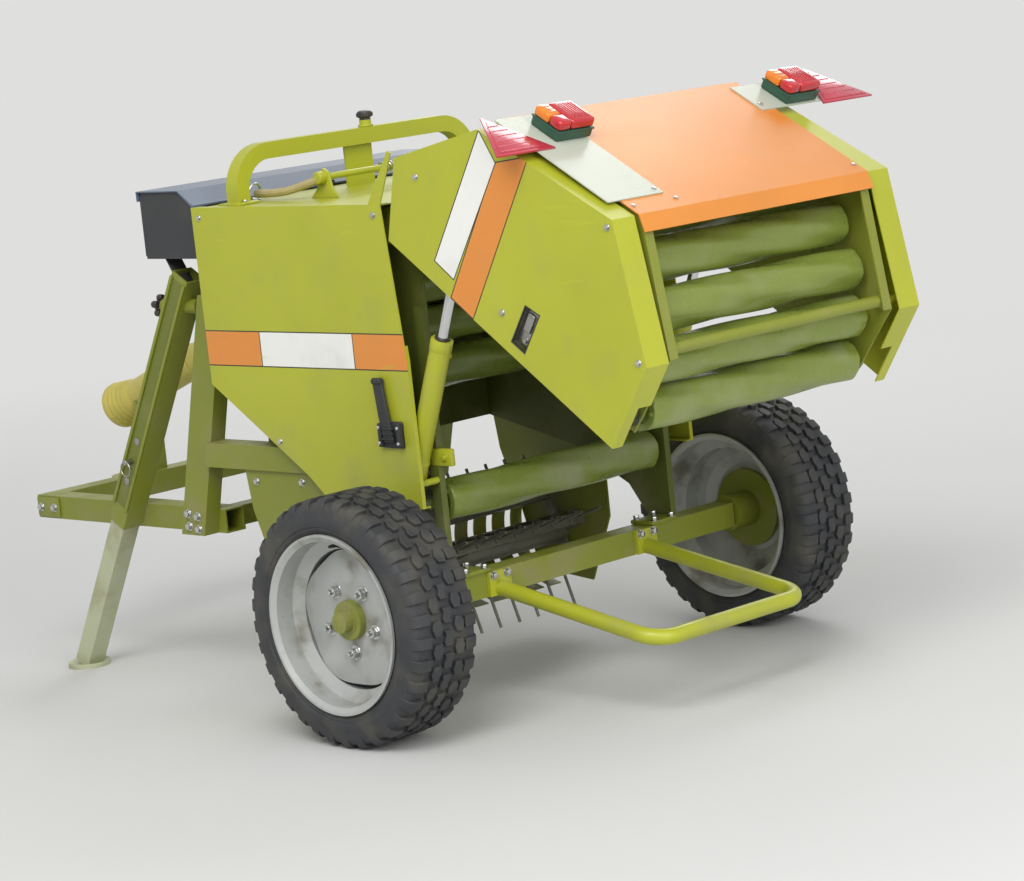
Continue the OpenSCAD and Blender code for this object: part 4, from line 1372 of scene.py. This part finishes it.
    def foot(self) -> None:
        """Presses the parking leg's foot plate with a raised rim."""
        reach = self.dish_r
        centre = Vector((self.guide_x * MM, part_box("parking_leg")[0].y + reach * MM, 0.0))
        profile = [(0, 7.2), (40, 7.2), (48, 9.5), (reach - 0.4, 13), (reach, 11), (reach, 4),
                   (reach - 3, 0.2), (0, 0.2)]
        points = [centre + Vector((r, 0, z)) * MM for r, z in profile]
        self.add("leg_dish", [Bench.lathe("dish", points, centre, Axis.Z.run, 56)], "pale",
                 Body.LEG)

    def build(self) -> None:
        """Dresses the drawbar frame."""
        guide = Vector(self.guide_top) - Vector(self.guide_low)
        self.guard()
        self.yoke()
        self.gearbox()
        self.joints()
        self.channel(guide.normalized(), guide.length)
        self.leg_pin(guide.normalized())
        self.foot()


@dataclass
class Pickup(Part):
    """Tined reel, side plates, axle and ramp."""

    reel: Point = (-420.0, 265.0)
    half: float = 418.0
    bars: int = 4
    tines: int = 12
    arm_r: float = 92.0
    first_bar: float = 20.0

    def coils(self) -> None:
        """Winds a spring coil at the root of every tine."""
        pitch = 2 * (self.half - 20) / self.tines
        centre = at(0, *self.reel)
        y, z = self.reel[0], self.reel[1] + self.arm_r
        coil = [Bench.torus("turn", 10, 2.6, at(step * 5.4, y - 11, z + 17), Axis.X.value, (18, 8))
                for step in (-1, 0, 1)]
        coil.append(Bench.block("clamp", (26, 20, 5), at(0, y, z + 10), (1.2, 1)))
        places = []
        for bar in range(self.bars):
            spin = Matrix.Rotation(math.radians(360 / self.bars * bar + self.first_bar), 4, "X")
            for number in range(self.tines):
                x = (20 - self.half + pitch * (number + 0.5)) * MM
                places.append(Matrix.Translation(centre) @ spin
                              @ Matrix.Translation(Vector((x, 0, 0)) - centre))
        coils = Bench.copies("coils", Bench.join("coil", coil), places)
        self.add("tine_coils", [coils], "tine", Body.PICKUP)

    def hardware(self) -> None:
        """Bolts the side plates, the axle clamps and the ramp's feet."""
        places = both(423, (-600, 530), (-430, 535), (-275, 535), (-560, 250), (-340, 180))
        bolts = [hex_bolt(place, Axis.X, 12, 6) for place in places]
        for x in (350, 290):
            bolts += [hex_bolt(place, Axis.Z, 14, 9) for place in both(x, (-30, 328), (30, 328))]
        for x in (228, 272):
            bolts += [hex_bolt(place, Axis.Y, 14, 8) for place in both(x, (40, 308))]
        self.add("chassis_bolts", bolts, "zinc")
        plates = [Bench.rod("reel_bearing", 38, 8, place, Axis.X, 40, (2.4, 3))
                  for place in both(427.2, self.reel)]
        plates += [Bench.block("clamp", (90, 74, 10), place, (2.5, 2))
                   for place in both(320, (0, 323.6))]
        self.add("chassis_clamps", plates, "leaf")

    def build(self) -> None:
        """Dresses the pickup and the axle."""
        self.coils()
        self.hardware()


@dataclass
class Studio:
    """Pale floor, soft lights and the camera at the photograph's place."""

    lens: float = 119.94
    eye: Triple = (5.60075, 6.23111, 1.78861)
    right: Triple = (-0.71108646, 0.69584083, -0.10080468)
    up: Triple = (-0.17516156, -0.03646942, 0.98386402)
    back: Triple = (0.68093647, 0.71726949, 0.14781748)
    floor_colour: Colour = (0.66, 0.66, 0.64)
    distance_colour: Colour = (0.74, 0.74, 0.73)
    near: float = 2.6
    far: float = 7.5
    sky: Colour = (0.86, 0.88, 0.90)
    sky_strength: float = 0.55
    aim: Triple = (0.0, 0.0, 0.7)
    lamps: tuple[tuple[str, Triple, float, float], ...] = (
        ("key", (5.5, 3.5, 6.5), 4.5, 430.0),
        ("fill", (1.5, 7.5, 3.5), 5.0, 250.0),
        ("rim", (-5.5, -3.5, 5.0), 4.0, 180.0))

    def floor(self) -> None:
        """Lays the floor, as pale far from the object as it is close to it."""
        Bench.take()
        bpy.ops.mesh.primitive_plane_add(size=400.0, location=(0, 0, 0))
        ground = Bench.named("floor")
        sheet = NodeSheet(bpy.data.materials.new("floor_pale"))
        tone = sheet.mix(sheet.noise(0.8, 3.0), self.floor_colour, tint(self.floor_colour, 0.96))
        sheet.wire(tone, sheet.shader.inputs["Base Color"])
        sheet.wire(0.85, sheet.shader.inputs["Roughness"])
        reach = sheet.node("ShaderNodeVectorMath", operation="LENGTH")
        sheet.wire(sheet.coords, reach.inputs[0])
        far = sheet.fade(reach.outputs["Value"], self.near, self.far)
        glow = sheet.node("ShaderNodeEmission")
        sheet.wire(self.distance_colour, glow.inputs["Color"])
        sheet.blend(sheet.maths("MULTIPLY", far, sheet.seen_rays()), sheet.shader.outputs[0],
                    glow.outputs[0], sheet.tree.nodes["Material Output"].inputs["Surface"])
        ground.data.materials.append(sheet.owner)

    def light(self) -> None:
        """Sets the soft lamps and the world."""
        for name, place, size, power in self.lamps:
            data = bpy.data.lights.new(name, "AREA")
            data.energy = power
            data.size = size
            turn = (Vector(self.aim) - Vector(place)).to_track_quat("-Z", "Y").to_matrix()
            self.stand(name, data, Matrix.Translation(place) @ turn.to_4x4())
        world = bpy.data.worlds.new("studio")
        bpy.context.scene.world = world
        sheet = NodeSheet(world)
        dim = sheet.tree.nodes["Background"]
        sheet.wire(self.sky, dim.inputs["Color"])
        sheet.wire(self.sky_strength, dim.inputs["Strength"])
        seen = sheet.node("ShaderNodeBackground")
        sheet.wire(self.distance_colour, seen.inputs["Color"])
        sheet.blend(sheet.seen_rays(), dim.outputs[0], seen.outputs[0],
                    sheet.tree.nodes["World Output"].inputs["Surface"])

    @staticmethod
    def stand(name: str, data: bpy.types.ID, place: Matrix) -> Thing:
        """Stands a lamp or a camera in its place."""
        made = bpy.data.objects.new(name, data)
        bpy.context.scene.collection.objects.link(made)
        made.matrix_world = place
        return made

    def camera(self) -> None:
        """Sets the camera."""
        data = bpy.data.cameras.new("camera")
        data.lens = self.lens
        data.sensor_width = 36.0
        data.clip_end = 1000.0
        turn = Matrix((self.right, self.up, self.back)).transposed().to_4x4()
        bpy.context.scene.camera = self.stand("camera", data, Matrix.Translation(self.eye) @ turn)

    def build(self) -> None:
        """Builds the studio."""
        bpy.context.scene.view_settings.view_transform = "Standard"
        self.floor()
        self.light()
        self.camera()


def corners(box: tuple[Vector, Vector]) -> list[list[float]]:
    """Turns a box into plain lists of numbers."""
    return [list(corner) for corner in box]


def main() -> None:
    """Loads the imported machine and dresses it."""
    logging.basicConfig(level=logging.INFO, format="%(name)s: %(message)s")
    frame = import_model()
    bpy.ops.object.select_all(action="DESELECT")
    dresser = Dresser(frame)
    dresser.solids()
    for kind in (Wheels, Rollers, Bearings, Covers, Tailgate, Cylinders, Deck, Hitch, Pickup):
        kind(dresser).build()
    Studio().build()
    LOG.info("%d pieces dressed", dresser.count)


if __name__ == "__main__":
    main()
